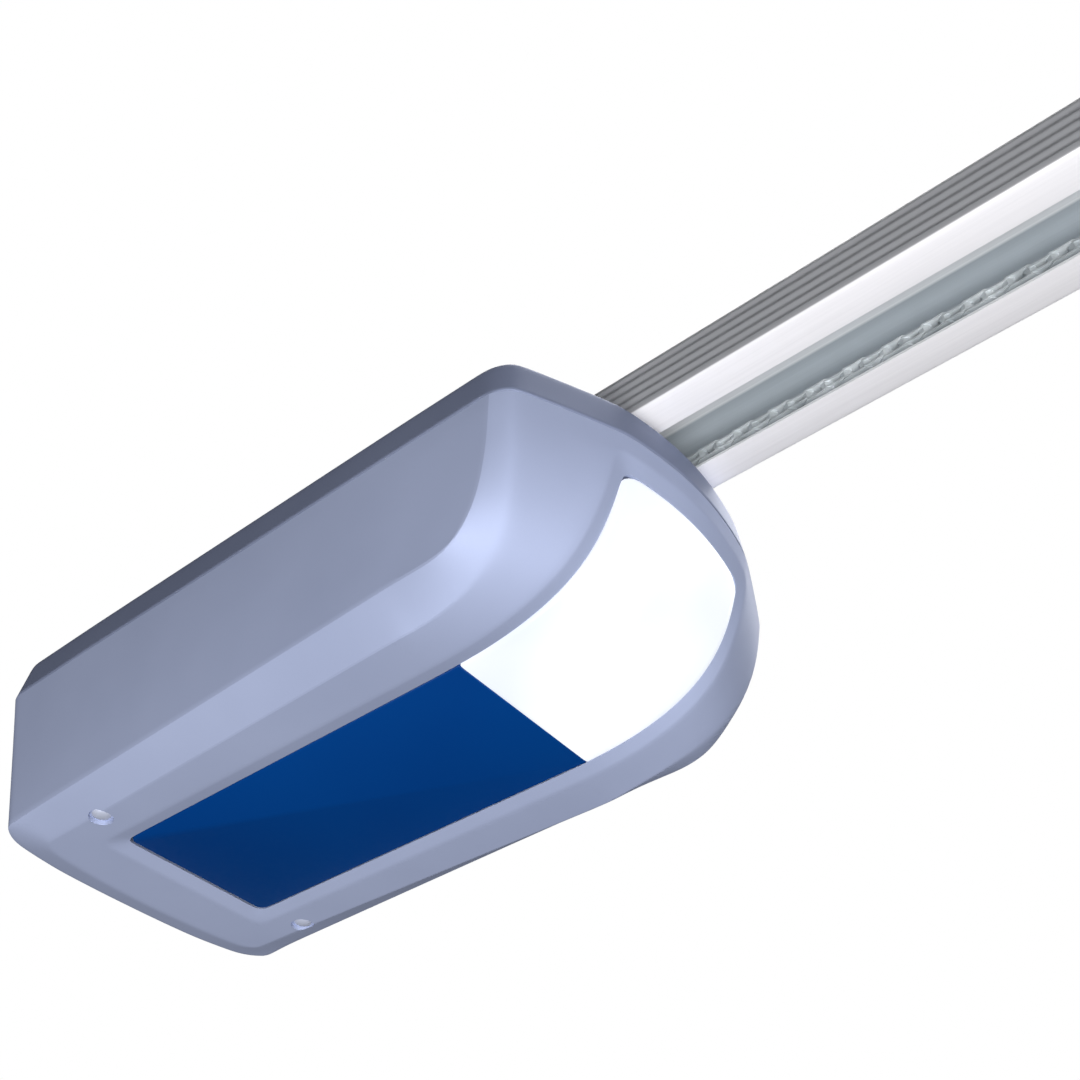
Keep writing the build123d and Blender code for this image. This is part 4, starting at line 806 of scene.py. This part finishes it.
def label_sheet():
    """The blue panel: a flat plate with rounded rear corners and a slightly eased edge."""
    bm = bmesh.new()
    bmesh.ops.create_cube(bm, size=1.0)
    size = label_high - label_low
    bmesh.ops.scale(bm, vec=size, verts=bm.verts)
    bmesh.ops.translate(bm, vec=(label_low + label_high) / 2, verts=bm.verts)
    rear = [e for e in bm.edges if all(v.co.x < 1 for v in e.verts)
            and abs(e.verts[0].co.z - e.verts[1].co.z) > 1]
    bmesh.ops.bevel(bm, geom=rear, offset=LABEL_CORNER, segments=6, affect="EDGES", profile=0.5,
                    material=-1)
    face_edges = [e for e in bm.edges if all(v.co.z < label_low.z + 0.01 for v in e.verts)]
    bmesh.ops.bevel(bm, geom=face_edges, offset=LABEL_EDGE, segments=2, affect="EDGES", profile=0.5,
                    material=-1)
    return bm


finish_piece(label_sheet(), "label_film_panel", "root", "label", ["label_panel"], sharp=50.0)


def lens_sheet():
    """The lens: a flat strip with rounded upper corners, bent up round the nose."""
    bm = bmesh.new()
    bmesh.ops.create_grid(bm, x_segments=36, y_segments=16, size=0.5)
    half = label_high.y
    for vert in bm.verts:
        share = (vert.co.x + 0.5) * (lens_share - 0.005)
        y = 2 * vert.co.y * half
        over = max(0.0, abs(y) - (half - LENS_CORNER)) / LENS_CORNER
        drop = 0.03 * (1 - math.sqrt(max(0.0, 1 - over * over)))
        spot = nose_point(share * (1 - drop * (share / lens_share) ** 5), y, recess_depth)
        spot.x = max(spot.x, label_end + INSERT_GAP + 30.0 * share)     # keeps clear of the label's end
        vert.co = spot
    bmesh.ops.recalc_face_normals(bm, faces=bm.faces)
    turn_outward(bm, Vector((400, 0, rim_z - 100)))
    return bm


finish_piece(lens_sheet(), "lens_shell", "lens", "lens", ["light_lens"], levels=1, wall=LENS_WALL,
             sharp=180.0)


# ================================================================ rail
rail_low, rail_high = cad("rail")
RAIL_WALL = 1.5
SLOT_HALF = 14.0
RIBS = 4                    # ribs up each side wall, and points drawn for each
RIB_POINTS = 6
RIB_SWING = 0.35            # half a rib's depth
LIP_BEND = 3.0              # where a lip turns up, with a facet that rises by
BEND_FACET = 0.9
RIB_MARGIN = 3.5            # left flat under and over the ribs
BEAD_HALF, BEAD_SLOPE, BEAD_DEPTH = 12.0, 3.0, 1.2


def rail_channel():
    """Rolled C-section: two lips, ribbed side walls and a web with a shallow bead, run along X."""
    bm = bmesh.new()
    inset = RAIL_WALL / 2
    half, low, high = rail_high.y - inset, rail_low.z + inset, rail_high.z - inset
    steps = RIB_POINTS * RIBS
    outline = [(SLOT_HALF, low), (half - LIP_BEND, low), (half - BEND_FACET, low + BEND_FACET)]
    for i in range(steps + 1):
        share = i / steps
        outline.append((half - RIB_SWING * (1 - math.cos(2 * math.pi * RIBS * share)),
                        low + RIB_MARGIN + (high - low - 2 * RIB_MARGIN) * share))
    outline += [
        (half - BEND_FACET, high - BEND_FACET), (half - LIP_BEND, high), (BEAD_HALF, high),
        (BEAD_HALF - BEAD_SLOPE, high - BEAD_DEPTH), (0.0, high - BEAD_DEPTH),
    ]
    places = [Vector((rail_low.x, y, z)) for y, z in outline]
    chain = [bm.verts.new(p) for p in places]
    for a, b in zip(chain, chain[1:]):
        bm.edges.new((a, b))
    grow_row(bm, chain, [p + Vector((rail_high.x - rail_low.x, 0, 0)) for p in places])
    bmesh.ops.mirror(bm, geom=bm.verts[:] + bm.edges[:] + bm.faces[:], axis="Y", merge_dist=0.01)
    bmesh.ops.recalc_face_normals(bm, faces=bm.faces)
    turn_outward(bm, Vector((1000, 500, -20)))
    bmesh.ops.solidify(bm, geom=bm.faces[:], thickness=RAIL_WALL)
    return bm


finish_piece(rail_channel(), "rail_channel", "root", "rail_steel", ["rail"], sharp=38.0)


# ================================================================ roller chain
drive_low, drive_high = cad("drive_sprocket")
idler_low, idler_high = cad("idler_sprocket")
chain_low, chain_high = cad("drive_chain")
drive_x = (drive_low.x + drive_high.x) / 2
idler_x = (idler_low.x + idler_high.x) / 2
chain_z = (chain_low.z + chain_high.z) / 2
PITCH = 9.525
TEETH = 12                  # of each sprocket
ROLLER = 6.35               # a roller's diameter and length
ROLLER_LENGTH = 2.8
PIN_RADIUS, PIN_LENGTH = 1.5, 7.3
PLATE_HALF = 4.0            # half a link plate's width
WAIST, WAIST_REACH = 0.72, 3.2          # the plate narrows to that share within that reach of its middle
PLATE = 0.95                # thickness of a link plate
INNER_STACK = 1.95          # how far the plates lie from the chain's middle
OUTER_STACK = 3.1
pitch_radius = PITCH / (2 * math.sin(math.pi / TEETH))


def chain_walk(distance):
    """Place and heading on the chain's loop, that far round from the start of its +Y run."""
    run = idler_x - drive_x
    bend = math.pi * pitch_radius
    distance %= 2 * (run + bend)
    if distance < run:
        return Vector((drive_x + distance, pitch_radius, chain_z)), 0.0
    distance -= run
    if distance < bend:
        angle = distance / pitch_radius
        across, aside = pitch_radius * math.sin(angle), pitch_radius * math.cos(angle)
        return Vector((idler_x + across, aside, chain_z)), -angle
    distance -= bend
    if distance < run:
        return Vector((idler_x - distance, -pitch_radius, chain_z)), math.pi
    angle = (distance - run) / pitch_radius
    across, aside = pitch_radius * math.sin(angle), pitch_radius * math.cos(angle)
    return Vector((drive_x - across, -aside, chain_z)), math.pi - angle


def one_link(stack):
    """A roller, its pin and two waisted plates, with the plates at that height above and below."""
    bm = bmesh.new()
    outline = Matrix.Diagonal((PITCH * 0.86, PLATE_HALF, 1.0, 1.0))
    for side in (-1, 1):
        made = bmesh.ops.create_circle(bm, cap_ends=True, segments=10, radius=1.0, matrix=outline)["verts"]
        for vert in made:
            if abs(vert.co.x) < WAIST_REACH:
                vert.co.y *= WAIST
        plate = bmesh.ops.extrude_face_region(bm, geom=[made[0].link_faces[0]])["geom"]
        raised = [v for v in plate if isinstance(v, bmesh.types.BMVert)]
        bmesh.ops.translate(bm, verts=raised, vec=(0, 0, PLATE))
        bmesh.ops.translate(bm, verts=made + raised, vec=(0, 0, side * stack - PLATE / 2))
    behind = Matrix.Translation((-PITCH / 2, 0, 0))
    bmesh.ops.create_cone(bm, cap_ends=True, segments=8, radius1=ROLLER / 2, radius2=ROLLER / 2,
                          depth=ROLLER_LENGTH, matrix=behind)
    bmesh.ops.create_cone(bm, cap_ends=True, segments=6, radius1=PIN_RADIUS, radius2=PIN_RADIUS,
                          depth=PIN_LENGTH, matrix=behind)
    bmesh.ops.recalc_face_normals(bm, faces=bm.faces)
    mesh = bpy.data.meshes.new("link")
    bm.to_mesh(mesh)
    bm.free()
    return mesh


def chain_links():
    """The chain: inner and outer links by turns along both runs and round both sprockets."""
    bm = bmesh.new()
    loop = 2 * (idler_x - drive_x + math.pi * pitch_radius)
    count = round(loop / PITCH)
    kinds = (one_link(INNER_STACK), one_link(OUTER_STACK))
    for i in range(count):
        spot, heading = chain_walk((i + 0.5) * loop / count)
        link = kinds[i % 2].copy()
        link.transform(Matrix.Translation(spot) @ Matrix.Rotation(heading, 4, "Z"))
        bm.from_mesh(link)
        bpy.data.meshes.remove(link)
    for mesh in kinds:
        bpy.data.meshes.remove(mesh)
    return bm


finish_piece(chain_links(), "roller_chain", "root", "chain", ["drive_chain"], sharp=40.0)


# ================================================================ cover screws
DOME_RADIUS, DOME_FLATTENING, DOME_RISE = 4.8, 0.45, 2.5
SHANK_RADIUS, SHANK_LENGTH = 2.0, 11.0


def dome_screws():
    """Two broad domed heads that nearly fill the cover's dimples, each on its shank."""
    bm = bmesh.new()
    for place in SCREW_PLACES:
        dome = bmesh.ops.create_uvsphere(bm, u_segments=32, v_segments=16, radius=DOME_RADIUS)["verts"]
        bmesh.ops.scale(bm, vec=(1, 1, DOME_FLATTENING), verts=dome)
        bmesh.ops.translate(bm, vec=place + Vector((0, 0, DOME_RISE)), verts=dome)
        middle = place + Vector((0, 0, DOME_RISE + 0.5 + SHANK_LENGTH / 2))
        bmesh.ops.create_cone(bm, cap_ends=True, segments=16, radius1=SHANK_RADIUS, radius2=SHANK_RADIUS,
                              depth=SHANK_LENGTH, matrix=Matrix.Translation(middle))
    return bm


finish_piece(dome_screws(), "cover_dome_screws", "root", "screws", ["cover_screws"], sharp=60.0)


# ================================================================ floor, light and room
FLOOR_Z = -2.6              # the opener hangs a little over two and a half metres up
FLOOR_HALF = 30.0
FLOOR_GLOW = 0.65


def studio_floor():
    """A plain pale floor well under the hanging arm. It glows a little, and neither lights the opener
    from below nor shows in its gloss."""
    bm = bmesh.new()
    bmesh.ops.create_grid(bm, x_segments=1, y_segments=1, size=FLOOR_HALF)
    bmesh.ops.translate(bm, vec=(1.5, 0, FLOOR_Z), verts=bm.verts)
    mesh = bpy.data.meshes.new("studio_floor")
    bm.to_mesh(mesh)
    bm.free()
    floor = bpy.data.objects.new("studio_floor", mesh)
    bpy.context.scene.collection.objects.link(floor)
    material, tree = blank("matt_pale_floor")
    place = add(tree, "ShaderNodeTexCoord").outputs["Object"]
    cloud = add(tree, "ShaderNodeTexNoise", {"Vector": place, "Scale": 1.5}).outputs["Fac"]
    shade(tree, add(tree, "ShaderNodeBsdfPrincipled", {
        "Base Color": ramp(tree, cloud, [(0.3, "#E9EAEC"), (0.7, "#EDEEF0")]), "Roughness": 0.8,
        "Emission Color": ramp(tree, cloud, [(0.3, "#E6E7E9"), (0.7, "#EAEBED")]),
        "Emission Strength": FLOOR_GLOW,
    }))
    mesh.materials.append(material)
    floor.visible_diffuse = floor.visible_glossy = False


def soft_light(name, target, direction, distance, size, power, tint="#FFFFFF"):
    """A square soft box that looks at a target from a direction. The camera doesn't see it."""
    data = bpy.data.lights.new(name, "AREA")
    data.shape, data.size = "SQUARE", size
    data.energy, data.color = power, linear(tint)[:3]
    lamp = bpy.data.objects.new(name, data)
    way = Vector(direction).normalized()
    lamp.location = Vector(target) + way * distance
    lamp.rotation_mode = "QUATERNION"
    lamp.rotation_quaternion = (-way).to_track_quat("-Z", "Y")
    lamp.visible_camera = False
    bpy.context.scene.collection.objects.link(lamp)


def white_room():
    """White behind everything, and a dim even glow for the light that bounces about."""
    world = bpy.data.worlds.new("white_room")
    bpy.context.scene.world = world
    world.use_nodes = True
    tree = world.node_tree
    tree.nodes.clear()
    seen = add(tree, "ShaderNodeLightPath").outputs["Is Camera Ray"]
    glow = add(tree, "ShaderNodeBackground", {"Color": linear("#C9CEDA"), "Strength": 0.04})
    backdrop = add(tree, "ShaderNodeBackground", {"Color": (1, 1, 1, 1), "Strength": 1.0})
    both = add(tree, "ShaderNodeMixShader", {0: seen, 1: glow.outputs[0], 2: backdrop.outputs[0]})
    add(tree, "ShaderNodeOutputWorld", {"Surface": both.outputs[0]})


bpy.context.scene.view_settings.view_transform = "Standard"
studio_floor()
white_room()
# Targets, distances and sizes are in metres and power is in watts.
soft_light("key_from_below", target=(0.12, 0.0, -0.1), direction=(0.45, -0.50, -0.74), distance=2.2,
           size=1.5, power=66.0)
soft_light("top_wash", target=(1.5, 0, 0), direction=(-0.35, 0.5, 0.8), distance=3.2, size=3.0,
           power=190.0)
soft_light("door_end_wash", target=(2.9, 0, -0.25), direction=(0.2, -0.6, -0.5), distance=1.2, size=0.8,
           power=14.0)
